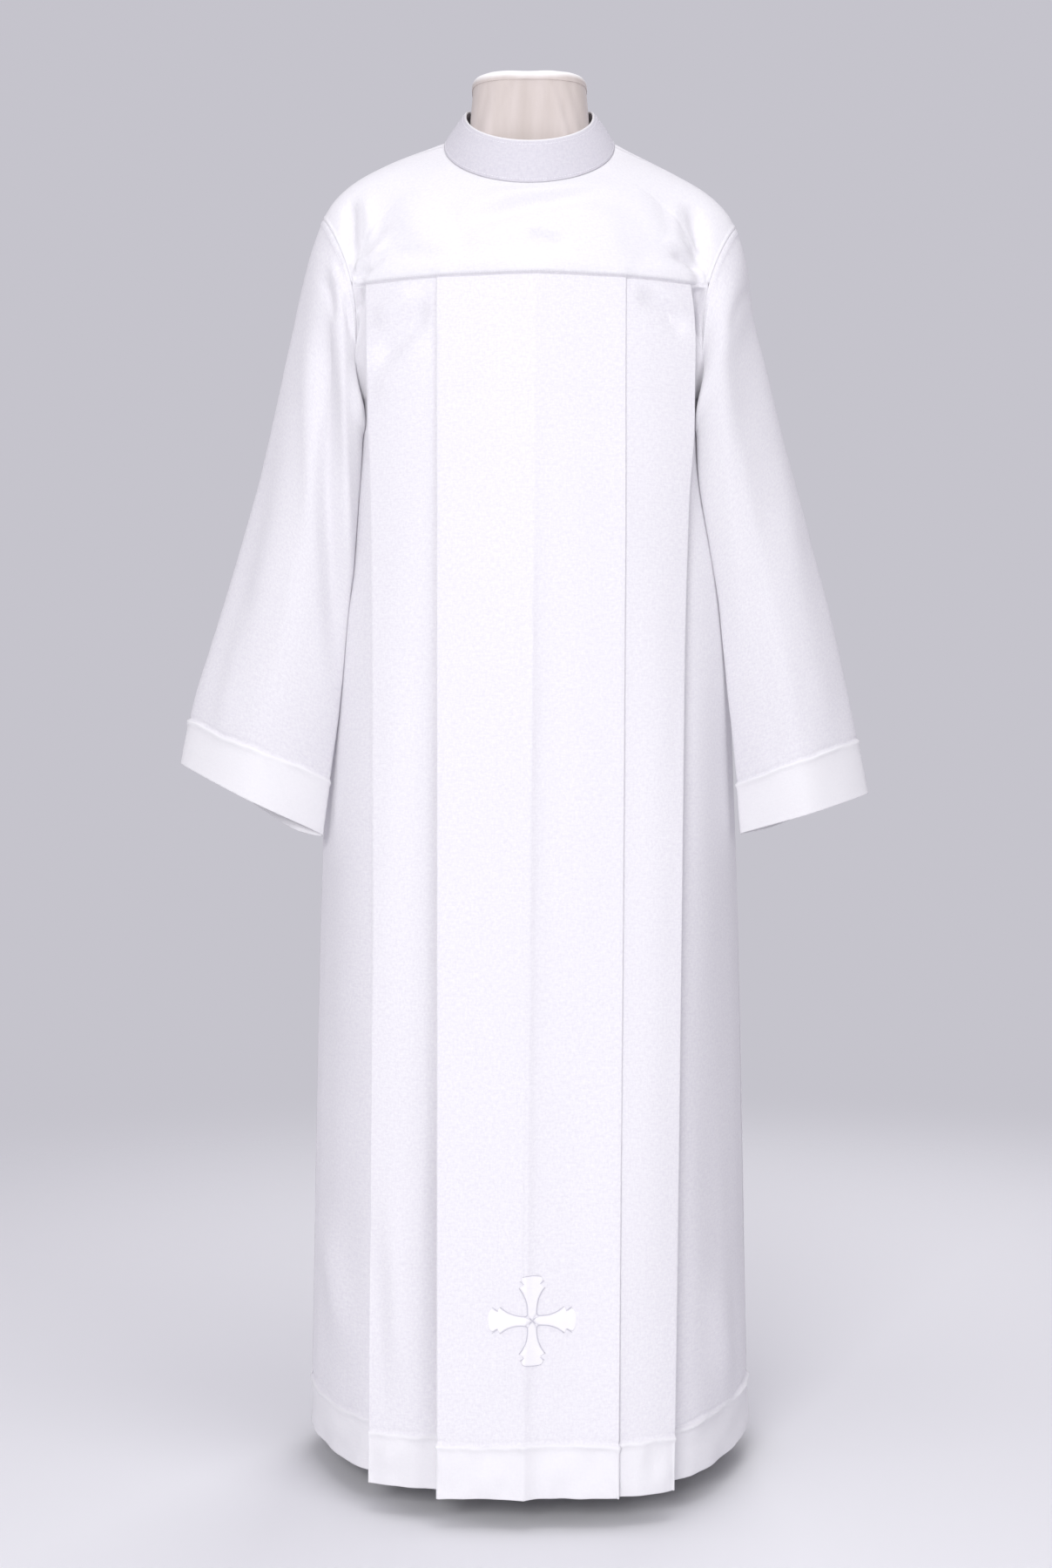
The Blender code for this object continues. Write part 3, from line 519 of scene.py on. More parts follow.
def yokeSurface(lines, steps):
    # the cloth runs in smooth lines from the neck edge down to the seam or the armhole
    theta, ends, toward, _ = lines
    size = yokeSize
    start = edgePoint(neckSize, theta)
    ahead = np.cos(theta)
    toMiddle = ahead**2
    front = ahead > 0
    flat = np.where(front, blend(*size["frontFlat"], toMiddle), blend(*size["backFlat"], toMiddle))
    shoulder = np.where(np.sin(theta) < 0, *size["shoulderFall"])
    fall = blend(shoulder, np.where(front, size["frontFall"], size["backFall"]), toMiddle)
    leave = unit(np.stack([np.sin(theta) * flat, -np.cos(theta) * flat, -fall], axis=-1))
    reach = np.linalg.norm(ends - start, axis=-1, keepdims=True)
    first = start + leave * reach * blend(*size["leave"], toMiddle)[:, None]
    second = ends - unit(toward) * reach * size["arrive"]
    t = np.asarray(steps)[:, None, None]
    return bezier(start[None], first[None], second[None], ends[None], t)


# rows for creases
yokeFolds = {
    "front": (
        # across the chest
        (-60, 1274, 74, 1306, 10, -6.5, -4),
        (-56, 1293, 78, 1316, 11, 4.5, -3),
        (-66, 1256, 30, 1270, 10, 2.4, 2),
        (2, 1260, 36, 1248, 6.5, -6, 2),
        (40, 1290, 110, 1256, 16, 2.4, -4),
        (-150, 1248, -90, 1240, 9, -1.6, 0),
        (-130, 1312, -100, 1250, 17, 2, 4),
        (-92, 1300, -66, 1240, 14, -2.2, -4),
        (110, 1310, 140, 1250, 14, 2, -4),
        (90, 1270, 130, 1232, 11, -1.8, 3),
        # left shoulder: the hollow beside the armhole, then folds that fan out from the notch below it
        (-185, 1306, -183, 1250, 6, -9, 2),
        (-170, 1312, -166, 1260, 7, 3.2, -2),
        (-184, 1244, -150, 1274, 4.5, -3.4, -3),
        (-186, 1236, -148, 1262, 4.5, 3.4, 4),
        (-182, 1229, -150, 1246, 4.5, -3, 3),
        (-186, 1224, -164, 1233, 4, -4, 1),
        # right shoulder
        (168, 1300, 177, 1238, 8, -8, -3),
        (150, 1302, 154, 1252, 8, 2.6, 2),
        (148, 1246, 174, 1233, 5, -5, -2),
        (138, 1260, 164, 1250, 5.5, 2.6, -2),
    ),
    "back": (
        (-120, 1306, 20, 1276, 15, -2.4, 4),
        (-20, 1256, 110, 1278, 14, -1.8, -4),
        (-60, 1242, 40, 1244, 10, 1, 0),
        (-180, 1306, -172, 1250, 8, -4, 2),
        (172, 1300, 180, 1248, 8, -4.2, -2),
        (-150, 1270, -120, 1236, 12, 1.4, 2),
        (118, 1276, 150, 1240, 12, 1.2, -2),
    ),
}


def outerFace(grid, facing, z, xs):
    # how far out a panel's cloth stands at height z, read along xs and evened out over its pleats
    row = grid[int(np.argmin(np.abs(grid[:, 0, 2] - z)))]
    fine = np.arange(0, len(row) - 1, 0.1)
    row = np.stack([np.interp(fine, np.arange(len(row)), row[:, k]) for k in (0, 1)], axis=1)
    out = np.array([(facing * row[np.abs(row[:, 0] - x) < yokeSize["readWide"], 1]).max() for x in xs])
    wide = np.concatenate([out[:1], out[:1], out, out[-1:], out[-1:]])
    return facing * np.convolve(wide, [0.1, 0.2, 0.4, 0.2, 0.1], "valid")


def byCorner(x):
    # 1 along the seam, a quarter at the corners where it meets the armholes
    return 1 - 0.75 * ease(robe["cornerX"], robe["seamX"], np.abs(x))


def makeYoke(name, facing, folds, panelGrid):
    size = yokeSize
    # rows lie closer together at the neck and at the seam
    steps = np.concatenate([np.linspace(0, 0.08, 6)[:-1], np.linspace(0.08, 0.88, 44)[:-1],
                            1 - 0.12 * np.linspace(1, 0, 20) ** 1.3])
    lines = yokeLines(facing, *size["columns"])
    middle = yokeSurface(lines, steps)
    normals = gridNormals(middle, False, (0, facing, 0.3))
    columns = middle.shape[1]
    # both ends of the last row lean with the armhole, the rest with the chest
    atSeam = np.abs(np.arange(columns) - (columns - 1) / 2) <= (size["columns"][1] - 1) / 2
    leaning = unit(blend(normals, lines[3][None], ease(size["leanFrom"], 1.0, steps)[:, None, None]))
    normals = np.where(atSeam[None, :, None], normals, leaning)
    normals[:, [0, -1], 1] = 0
    normals = unit(normals)

    x, z = middle[:, :, 0], middle[:, :, 2]
    push = creases(x, z, folds) + unevenness(x, z, size["waves"], facing)
    length = np.linalg.norm(middle[-1] - middle[0], axis=-1)
    toSeam, toNeck = (1 - steps)[:, None] * length[None], steps[:, None] * length[None]
    fromShoulder = np.abs(middle[:, :, 1])
    push *= ease(0, size["calm"]["seam"], toSeam) * 0.85 + 0.15
    push *= ease(0, size["calm"]["neck"], toNeck) * ease(0, size["calm"]["shoulder"], fromShoulder)
    # the lower edge follows the pleats under it, rolls in to its seam and bulges a little above it
    face = outerFace(panelGrid, facing, robe["yokeZ"] - size["readBelow"], middle[-1, atSeam, 0])
    shift = np.zeros(columns)
    shift[atSeam] = face + facing * size["overPanel"] - middle[-1, atSeam, 1]
    shift[atSeam] *= ease(*size["followX"], np.abs(middle[-1, atSeam, 0]))
    middle[:, :, 1] += shift[None] * hill(toSeam, 0, size["seamFollow"])
    roll = size["seamRoll"] * byCorner(x) * np.exp(-(toSeam / size["seamRollWide"]) ** 1.6)
    push += atSeam[None] * (relief(toSeam, size["seamPuff"]) - roll)
    # pressed seams along the armholes, at the neck and on the shoulders
    push += ~atSeam[None] * (relief(toSeam, size["armholePress"]) - relief(toSeam, size["armholeDip"]))
    push -= relief(toNeck, size["neckDip"])
    push += relief(fromShoulder, size["shoulderSeam"]) * ease(*size["shoulderSeamEnd"], toSeam)
    middle = middle + normals * push[:, :, None]
    middle[-1, atSeam, 2] -= size["seamSink"]
    return clothShell(name, middle, normals, robe["cloth"], yokeCloth), middle, normals


# front and back panels; rows of each half from the yoke down, in mm: x runs outward, y is
# negative outward, edge1 and edge2 are the pleats' outer folds

pleatColumns = (
    "z", "centre", "edge1X", "edge1Y", "turn1", "step1",
    "edge2X", "edge2Y", "turn2", "step2", "seamX", "seamY", "bow",
)
frontPanel = {
    "left": (
        (1218, -112, 94, -94.9, 32, 2.7, 168.4, -58, 26, 3, 183.4, -49, 0),
        (1100, -126, 93.5, -110, 32, 4.2, 166, -72, 27, 11, 192, 0, 0),
        (950, -143, 92.5, -130, 32, 7, 161, -92, 28, 15, 204.5, 12, 9.2),
        (700, -172, 91, -163, 32, 12, 157, -132, 30, 24, 216.5, 20, 14),
        (29, -249.5, 87.6, -249, 30, 30, 156, -198, 32, 40, 232, 25, 13.5),
    ),
    "right": (
        (1218, -112, 97.5, -93.6, 32, 2.7, 165.6, -59, 26, 3, 183.4, -49, 0),
        (1187, -115.5, 97.2, -97.6, 32, 2.8, 169, -62, 26, 4.6, 185.3, -36, 0),
        (1100, -126, 96.5, -110, 32, 2.9, 168.8, -74, 27, 10, 192, 0, -2),
        (1062, -130, 96.3, -115, 32, 3, 168, -79, 27, 11, 192.5, 3, -3),
        (1005, -137, 95.9, -123, 31, 3.1, 163, -88, 27, 13, 197.5, 8, 5),
        (950, -143, 95.5, -130, 31, 3.2, 160.3, -95, 27, 15, 204.5, 12, 14),
        (870, -152, 94.5, -140.5, 31, 3.3, 157, -109, 27, 16, 208.5, 15, 18.5),
        (700, -172, 92.5, -163, 30, 3.5, 152.5, -141, 27, 20, 216.5, 20, 15),
        (150, -236, 85, -234, 29, 4.4, 141, -208, 28, 26, 229, 24, 16),
        (29, -249.5, 83.5, -249, 29, 6.2, 138, -223, 28, 30, 232, 25, 19),
    ),
    "creaseTopX": 0.007,
    "creaseHemX": -0.006,
    "crease": 3.0 * mm,
    "pressed": (0.15, 0.85),
    "pressedZ": (1.10, 0.74),
    "folds": (
        (-160, 1136, -100, 1190, 11, -8, 3),
        (-158, 1176, -116, 1206, 11, 4, 0),
        (-158, 1096, -110, 1156, 15, 2.6, 3),
        (112, 1200, 160, 1168, 9, -6.5, -2),
        (126, 1208, 162, 1188, 7, 2.6, 0),
        (-120, 980, -150, 520, 20, 1.3, 0),
        (-110, 760, -118, 240, 14, -1.5, 0),
        (-132, 300, -124, 130, 15, 4, 0),
        (-150, 240, -146, 90, 12, -2.4, 0),
        (-40, 1190, -52, 820, 26, 1.2, 0),
        (52, 1100, 44, 500, 24, 1.2, 0),
        (-50, 560, -46, 220, 26, 1.2, 3),
        (46, 420, 40, 120, 20, -1.2, 0),
        (-208, 256, -186, 150, 13, 7, 0),
        (-206, 900, -212, 360, 12, -1.6, 0),
        (186, 200, 196, 100, 13, 6, 0),
        (190, 860, 196, 320, 14, -1.8, 0),
        (128, 900, 118, 260, 16, 1, 0),
        (-62, 266, -34, 232, 8, 0.9, 0),
        (34, 230, 66, 266, 8, 0.8, 0),
        (-56, 130, -26, 156, 8, 0.8, 0),
        (26, 156, 60, 128, 8, 0.9, 0),
        # the cloth drawn in round the cross
        (-12, 218, -36, 242, 7, 1.5, 0),
        (16, 218, 40, 242, 7, 1.3, 0),
        (-12, 170, -36, 146, 7, 1.5, 0),
        (16, 170, 40, 146, 7, 1.7, 0),
        (10, 144, -10, 92, 9, -1.6, 0),
    ),
    # the outer pleat sinks in beside the centre panel's fold
    "besideCentre": (
        (-84, 760, -80, 100, 13, -3, 0),
        (-83, 380, -78, 50, 17, -7, 0),
    ),
    # hollows between the outer pleat and the armhole
    "besideHole": (
        (-172, 1216, -180, 1184, 3.6, -6, 0),
        (-185, 1208, -174, 1180, 3.4, 4.5, 0),
        (-178, 1182, -186, 1146, 4, -6.5, 0),
        (-174, 1176, -184, 1126, 3.4, 4, 0),
        (174.5, 1224, 179, 1162, 6, -13, 0),
    ),
}
backPanel = {
    "left": (
        (1218, -112, 90, -96.3, 32, 7, 160, -62.4, 26, 7.6, 183.4, -49, 0),
        (1100, -128, 90, -113, 32, 8, 160, -78, 27, 14, 192, 0, 7),
        (950, -146, 90, -132, 32, 11, 157, -96, 28, 18, 204.5, -12, 11),
        (700, -170, 89, -160, 32, 16, 155, -130, 30, 22, 216.5, -20, 15),
        (29, -240, 88, -236, 32, 22, 150, -206, 32, 30, 232, -25, 24),
    ),
    "creaseTopX": 0.003,
    "creaseHemX": -0.006,
    "crease": 3.0 * mm,
    "pressed": (0.30, 0.55),
    "pressedZ": (1.05, 0.70),
    "folds": (
        (-150, 1160, -100, 1200, 12, -2.4, 2),
        (98, 1202, 150, 1156, 12, -2.6, -2),
        (-120, 960, -128, 300, 18, 1.6, 0),
        (116, 1020, 126, 420, 18, 1.4, 0),
        (-48, 1160, -40, 640, 24, -1.8, 0),
        (50, 900, 40, 260, 24, 1.6, 0),
        (-190, 860, -200, 200, 15, 3, 0),
        (186, 720, 200, 120, 15, 3, 0),
    ),
    "besideCentre": (
        (-95, 520, -93, 100, 11, -4, 0),
        (95.5, 780, 94, 260, 11, -4, 0),
    ),
    "besideHole": (
        (-174, 1210, -180, 1160, 4.5, -5, 0),
        (174, 1212, 181, 1156, 4.5, -5.5, 0),
    ),
}
backPanel["right"] = backPanel["left"]
pleatMake = {
    # points along each stretch of half a panel, from the crease to the side seam
    "centre": 26,
    "outerFold": 9,
    "innerFold": 7,
    "under": (9, 8),
    "back": (11, 9),
    "outer": 24,
    "side": 34,
    "outerSag": 12 * mm,
    "leastBow": -4 * mm,
    # the swell comes nearer the front below the sleeves
    "earlier": 0.22,
    "earlierZ": (0.84, 0.72),
    "crease": 4.8 * mm,
    "creaseWide": (36 * mm, 7 * mm),
    "flatByFold": 20 * mm,
    "waves": (0.6 * mm, 0.35, 0.11),
    "smallWaves": (0.28 * mm, 0.8, 0.045),
    "flutes": (2.0 * mm, 0.12, 0.09),
    "fluteZ": (1.0, 0.1),
    # the folds are tighter under the yoke and wider in the hem
    "tighter": 0.25 * mm,
    "tighterZ": (1.05, 1.20),
    "widerInHem": 0.6 * mm,
    # where a pleat's inner fold lies behind its edge, as a share of the step, and its gap
    "innerBehind": 0.85,
    "innerGap": (0.6 * mm, 0.4 * mm),
    # by the armhole and side seams, counted in columns
    "seamPuff": (0.45 * mm, 2.6, 1.3),
    "seamDip": (0.25 * mm, 0, 1.2),
    "tuck": 4.2 * mm,
    "tuckZ": (-2.2 * mm, 0.4 * mm),
}
# the turned-up hem and cuffs; rows of points by their upper edge, in mm above it
edgeMake = {
    "rows": (9, 7, 5.5, 4.5, 3.5, 2.7, 2, 1.3, 0.6, 0, -0.7, -1.4, -2.1, -2.9, -3.8, -5, -6.5),
    "ridge": (2.1 * mm, -2.2 * mm, 2.7 * mm),
    "dip": (0.9 * mm, 2.2 * mm, 2.2 * mm),
    "stitchPitch": 6.5 * mm,
    # waves of the doubled hem and their seeds
    "mottled": (((2.2 * mm, 1, 0.038), 3), ((0.8 * mm, 1, 0.019), 11)),
}
# numbers that makePanel gives to the stretches that show
centrePart, outerPart, sidePart = 0, 4, 8


def pleatSizes(table, z):
    rows = np.array(table)[::-1] * mm
    return dict(zip(pleatColumns, throughPoints(rows[:, 0], rows, z).T))


def pair(x, y):
    return np.stack([x, y], axis=-1)


def turnFold(line, inward, radius, count):
    # half a turn of the cloth from the line's end; inward 1 or -1 says to which side
    along = unit(line[:, -1] - line[:, -2])
    aside = inward * pair(-along[:, 1], along[:, 0])
    turn = np.linspace(0, math.pi, count)[None, :, None]
    r = radius[:, None, None]
    return line[:, -1:] + aside[:, None] * r * (1 - np.cos(turn)) + along[:, None] * r * np.sin(turn)


def stretch(first, last, count):
    s = np.linspace(0, 1, count + 2)[1:-1][None, :, None]
    return first[:, None] + (last - first)[:, None] * s


def halfPlan(size, crease, creaseX, radius, seamX, seamY):
    # plan of half a panel at every height, from the crease out to the side seam
    make = pleatMake

    def centreY(x):
        share = (x - creaseX) / (size["edge1X"] - creaseX)
        return blend(size["centre"], size["edge1Y"], share**1.5) + 2 * crease * share * (1 - share)

    def underneath(fold, innerX, innerY, edgeX, edgeY, which):
        # from an outer fold back under the cloth, round the inner fold and out to the edge again
        start = pair(innerX + radius, innerY - 2 * radius)
        under = stretch(fold[:, -1], start, make["under"][which])
        turned = turnFold(np.stack([fold[:, -1], start], axis=1), -1, radius, make["innerFold"])
        return under, turned, stretch(turned[:, -1], pair(edgeX, edgeY), make["back"][which])

    edge1, edge2 = size["edge1X"], size["edge2X"]
    s = np.linspace(0, 1, make["centre"])[:, None] ** 1.25
    x = creaseX + (edge1 - radius - creaseX) * s
    centre = pair(x, centreY(x)).swapaxes(0, 1)
    fold1 = turnFold(centre, 1, radius, make["outerFold"])
    inner1, outerY = edge1 - size["turn1"], size["edge1Y"] + size["step1"]
    innerY = centreY(inner1) + size["step1"] * make["innerBehind"] + make["innerGap"][0]
    under1, fold2, back1 = underneath(fold1, inner1, innerY, edge1, outerY, 0)

    s = np.linspace(0, 1, make["outer"])[:, None]
    x = edge1 + (edge2 - radius - edge1) * s
    y = blend(outerY, size["edge2Y"], s) - make["outerSag"] * s * (1 - s)
    outer = smoothRow(np.concatenate([back1, pair(x, y).swapaxes(0, 1)], axis=1), 5)
    fold3 = turnFold(outer, 1, radius, make["outerFold"])
    slope = (size["edge2Y"] - outerY) / (edge2 - edge1)
    behind = size["step2"] * make["innerBehind"] + make["innerGap"][1]
    innerY = size["edge2Y"] - slope * size["turn2"] + behind
    sideY = size["edge2Y"] + size["step2"]
    under2, fold4, back2 = underneath(fold3, edge2 - size["turn2"], innerY, edge2, sideY, 1)

    corner, seam = pair(edge2, sideY), pair(seamX, seamY)
    outward = unit(pair(seamY - sideY, edge2 - seamX))
    t = np.linspace(0, 1, make["side"])[None, :, None]
    early = t ** (1 - make["earlier"] * ease(*make["earlierZ"], size["z"])[:, None, None])
    swell = 4 * size["bow"][:, None, None] * early * (1 - early)
    side = corner[:, None] + (seam - corner)[:, None] * t + outward[:, None] * swell
    side = smoothRow(np.concatenate([back2, side], axis=1), 5)
    parts = [centre, fold1[:, 1:], under1, fold2, outer, fold3[:, 1:], under2, fold4, side]
    return np.concatenate(parts, axis=1), [part.shape[1] for part in parts]


def panelHeights():
    middle, radius = armholeMiddle(-1)
    hole = middle + radius * np.cos(np.linspace(armholeSeam(-1), math.pi, 27))
    hole[-1] = robe["underarmZ"]
    near = robe["yokeZ"] + np.array([5.0, 3.5, 2.2, 1.2, 0, -0.5, -1.0, -1.6, -2.2, -3.0, -4.5]) * mm
    body = np.linspace(robe["underarmZ"], hemTop + 12 * mm, 56)[1:]
    ridge = hemTop + np.array(edgeMake["rows"]) * mm
    hem = np.linspace(hemTop - 9 * mm, robe["hemZ"] + 2 * mm, 8)
    edge = robe["hemZ"] + np.array([1.0, 0.0]) * mm
    return np.concatenate([near, hole[hole < near[-1] - 1 * mm], body, ridge, hem, edge])


def doubledBand(above):
    return ease(0.9 * mm, -1.4 * mm, above)


def turnedEdge(above, along, wanderSeed, pullSeed):
    # relief and doubling of a turned-up edge, given the height above its upper edge
    wander = 0
    for size, turns, shift in ((0.9, 41, 1), (0.6, 97, 2.3), (0.35, 233, 1)):
        wander = wander + size * mm * np.sin(along * turns + shift * wanderSeed)
    above = above - wander
    # small pulls at each hidden stitch, some stronger than others
    pulls = np.cos(along * fullTurn / edgeMake["stitchPitch"] + 2 * np.sin(along * 61 + pullSeed))
    pulls = 0.72 + 0.16 * pulls + 0.30 * np.sin(along * 57 + 3 * pullSeed) * np.sin(along * 23 + pullSeed)
    band = doubledBand(above)
    doubledOrRimHighlight = 0.75 * band + 0.25 * hill(above, *edgeMake["ridge"][1:])
    return band, doubledOrRimHighlight, (relief(above, edgeMake["ridge"]) - relief(above, edgeMake["dip"])) * pulls


def foldX(panel, column, high, x):
    # where a pleat's fold stands at each height, on the side that x is on
    edges = []
    for half in ("left", "right"):
        rows = np.array(panel[half])[::-1] * mm
        edges.append(np.interp(high, rows[:, 0], rows[:, pleatColumns.index(column)]))
    return np.where(x < 0, *edges)


def makePanel(name, facing, panel):
    make = pleatMake
    z = panelHeights()
    band = doubledBand(z - hemTop)
    radius = robe["foldRadius"] - make["tighter"] * ease(*make["tighterZ"], z) + make["widerInHem"] * band
    share = (z - robe["hemZ"]) / (robe["yokeZ"] - robe["hemZ"])
    creaseX = blend(panel["creaseHemX"], panel["creaseTopX"], share)
    zRead = np.minimum(z, robe["yokeZ"])
    halves = []
    for side, half in ((-1, "left"), (1, "right")):
        size = pleatSizes(panel[half], zRead)
        size["bow"] = np.maximum(size["bow"], make["leastBow"])
        middle, ring = armholeMiddle(side)
        hole = np.abs(armholePoints(side, np.arccos(np.clip((zRead - middle) / ring, -1, 1))))
        inHole = zRead > robe["underarmZ"]
        seamX = np.where(inHole, hole[:, 0], size["seamX"])
        seamY = np.where(inHole, -hole[:, 1], size["seamY"])
        plan, counts = halfPlan(size, panel["crease"], side * creaseX, radius, seamX, seamY)
        height = np.broadcast_to(z[:, None], plan.shape[:2])
        halves.append(np.stack([side * plan[:, :, 0], -facing * plan[:, :, 1], height], axis=-1))
    middle = np.concatenate([halves[0][:, :0:-1], halves[1]], axis=1)
    part = np.repeat(np.arange(len(counts)), counts)
    part = np.concatenate([part[:0:-1], part])
    normals = gridNormals(middle, False, (0, facing, 0))
    normals[:, :, 2] = 0
    normals = unit(normals)

    x, high = middle[:, :, 0], middle[:, :, 2]
    showing = np.isin(part, (centrePart, outerPart, sidePart))[None]
    push = creases(x, high, panel["folds"])
    push += unevenness(x, high, make["waves"], 2 + facing)
    # pressed crease down the middle: the cloth falls away from it, more steeply on the right
    fromCrease = x - creaseX[:, None]
    pressed = panel["pressed"][0] + panel["pressed"][1] * ease(*panel["pressedZ"], high)
    wide = np.where(fromCrease > 0, make["creaseWide"][1], make["creaseWide"][0])
    push += pressed * make["crease"] * np.exp(-np.abs(fromCrease) / wide) * (part == centrePart)[None]
    # cloth stays flat by the pleats' folds, which are pressed
    toFolds = [np.abs(np.abs(x) - foldX(panel, edge, high, x)) for edge in ("edge1X", "edge2X")]
    nearFold = np.min(toFolds, axis=0)
    push *= showing * (0.25 + 0.75 * ease(0.0, make["flatByFold"], nearFold))
    # soft flutes in the cloth at the sides, deeper towards the hem
    flutes = ease(*make["fluteZ"], high) * unevenness(middle[:, :, 1], high, make["flutes"], 4 + facing)
    atSide = (part == sidePart)[None]
    push = (push + atSide * flutes) * ease(robe["yokeZ"], robe["yokeZ"] - 20 * mm, high)
    push += (part == outerPart)[None] * creases(x, high, panel["besideCentre"])
    besideHole = creases(x, high, panel["besideHole"]) * ease(robe["yokeZ"], robe["yokeZ"] - 6 * mm, high)
    toSide = np.minimum(np.arange(len(part)), np.arange(len(part))[::-1])[None]
    push = (push + atSide * besideHole) * ease(0, 7, toSide)
    # no cloth is dead flat, and the hem's upper edge makes a puckered ridge
    small = unevenness(x, high, make["smallWaves"], 7 + facing)
    push += showing * ease(0.0, 12 * mm, nearFold) * small
    hemBand, doubledOrRimHighlight, pucker = turnedEdge(high - hemTop, lengthsAlong(middle[-1])[None], facing, facing)
    mottled = sum(unevenness(x, high, *waves) for waves in edgeMake["mottled"])
    push += pucker + hemBand * showing * mottled
    # rolled in to the armhole and side seams
    push += relief(toSide, make["seamPuff"]) - relief(toSide, make["seamDip"])
    middle = middle + normals * push[:, :, None]
    # all the layers together tuck in under the yoke
    tuck = ease(*make["tuckZ"], high - robe["yokeZ"]) * byCorner(x)
    middle[:, :, 1] -= facing * make["tuck"] * tuck
    thick = blend(robe["cloth"], robe["hemCloth"], band)
    piece = clothShell(name, middle, normals, thick, panelCloth, doubledOrRimHighlight=doubledOrRimHighlight)
    return piece, middle, normals, part, z


frontPiece, frontGrid, frontNormals, frontPart, panelZ = makePanel("frontPanel", -1, frontPanel)
backPiece, backGrid, backNormals, backPart, _ = makePanel("backPanel", 1, backPanel)
print("panels ready")

yokeFront, frontYokeGrid, frontYokeNormals = makeYoke("yokeFront", -1, yokeFolds["front"], frontGrid)
yokeBack, backYokeGrid, backYokeNormals = makeYoke("yokeBack", 1, yokeFolds["back"], backGrid)
print("yokes ready")


# sleeves; rows from the upper arm to the cuff edge, in mm: outer is the outer fold, inner the
# front inner fold, rear the back of the inner side, front and back the swell between them

sleeveColumns = (
    "outerX", "outerY", "outerZ", "innerX", "innerY", "innerZ", "rearX", "rearY", "rearZ", "front", "back",
)
leftSleeve = {
    "leanIn": (4.0 * mm, 4.5 * mm),
    "stations": (
        (249.4, 0, 1177, 171.2, -57.5, 1063, 204, -10, 1075, 34, 30),
        (264.9, -2, 1104, 174.5, -57, 1013, 214, -20, 1020, 34, 32),
        (281.3, -4, 1031.6, 180, -60.5, 950, 222, -28, 955, 35, 33),
        (303.1, -6, 954, 186.2, -57.5, 881.5, 228, -34, 886, 37, 34),
        (326.8, -8, 872, 193.8, -56, 804, 233, -36, 809, 39, 34),
        (355.9, -10, 771.3, 207.5, -47, 709.5, 238, -36, 714, 41, 34),
        (365, -10, 725, 215.7, -43, 652, 243, -36, 657, 41, 34),
    ),
    # rows for creases; x is positive outward
    "frontFolds": (
        (211.5, 1210, 198.5, 840, 11, -12, -2),
        (193.5, 1190, 184.5, 900, 5.5, 5, 0),
        (193, 1296, 191.5, 1230, 6, -7, 0),
        (230, 1180, 222, 960, 9, 2, -2),
        (198, 1220, 184, 1170, 3.6, -4.6, 3),
        (192, 1212, 180, 1186, 3.4, 3.4, 2),
        (206, 1240, 192, 1198, 4.6, 3.6, 2),
        (214, 1226, 202, 1184, 4.6, -3, 2),
        (242, 1130, 290, 840, 16, 2, 3),
        (270, 1040, 330, 790, 14, -2.2, 4),
        (236, 920, 250, 730, 16, 1.6, 0),
        (300, 880, 320, 750, 12, 1.6, 0),
    ),
    "backFolds": (
        (210, 1170, 220, 860, 11, -4, 3),
        (248, 1080, 294, 800, 15, 2.4, 3),
        (272, 1000, 322, 770, 13, -2.4, 3),
    ),
}
rightSleeve = {
    "leanIn": (2.6 * mm, 7.0 * mm),
    "stations": (
        (239.3, 0, 1177, 171.6, -59.5, 1063.5, 204, -10, 1075, 34, 30),
        (256.6, -2, 1104, 175, -59, 1013.4, 214, -20, 1020, 34, 32),
        (274.8, -4, 1031.6, 185, -59, 949.7, 222, -28, 955, 35, 33),
        (294.8, -6, 958.8, 194.5, -57.5, 895, 229, -32, 899, 37, 34),
        (317.5, -8, 872.4, 202.9, -51.5, 818, 235, -34, 823, 39, 34),
        (343, -10, 751.3, 215.6, -41, 705.8, 242, -34, 710, 41, 34),
        (354.8, -10, 694, 220.2, -38, 653, 247, -34, 658, 41, 34),
    ),
    "frontFolds": (
        (214, 1150, 248, 880, 16, -2.2, -3),
        (196, 1140, 216, 860, 9, 1.8, 0),
        (242, 1160, 276, 920, 12, 1.8, -3),
        (228, 1220, 208, 1170, 6, -1.6, 2),
        (270, 980, 308, 760, 16, 1.8, 3),
        (240, 860, 256, 710, 15, -1.6, 0),
    ),
    "backFolds": (
        (208, 1160, 224, 840, 11, -3.6, 3),
        (240, 1060, 288, 780, 15, 2.4, 3),
        (270, 980, 316, 740, 13, -2.2, 3),
    ),
}
sleeveMake = {
    "cornerAngles": (0, 82, 140, 185, 272),
    "entryTop": 0.36,
    "entryLow": 0.30,
    "columns": 132,
    # where the cloth drops straight from the armhole, and where it leans in to the pleat (degrees)
    "dropAt": (128, 236),
    "dropWide": 30,
    "leanAt": 134,
    "leanWide": 20,
    "headGap": (0.3 * mm, 0.2 * mm),
    "waves": (0.7 * mm, 0.5, 0.07),
    "wavesZ": (1.25, 1.15),
    "smallWaves": (0.3 * mm, 1, 0.042),
    "seamPuff": (0.9 * mm, 3.6 * mm, 2.4 * mm),
    "seamDip": (0.1 * mm, 0, 1.6 * mm),
}


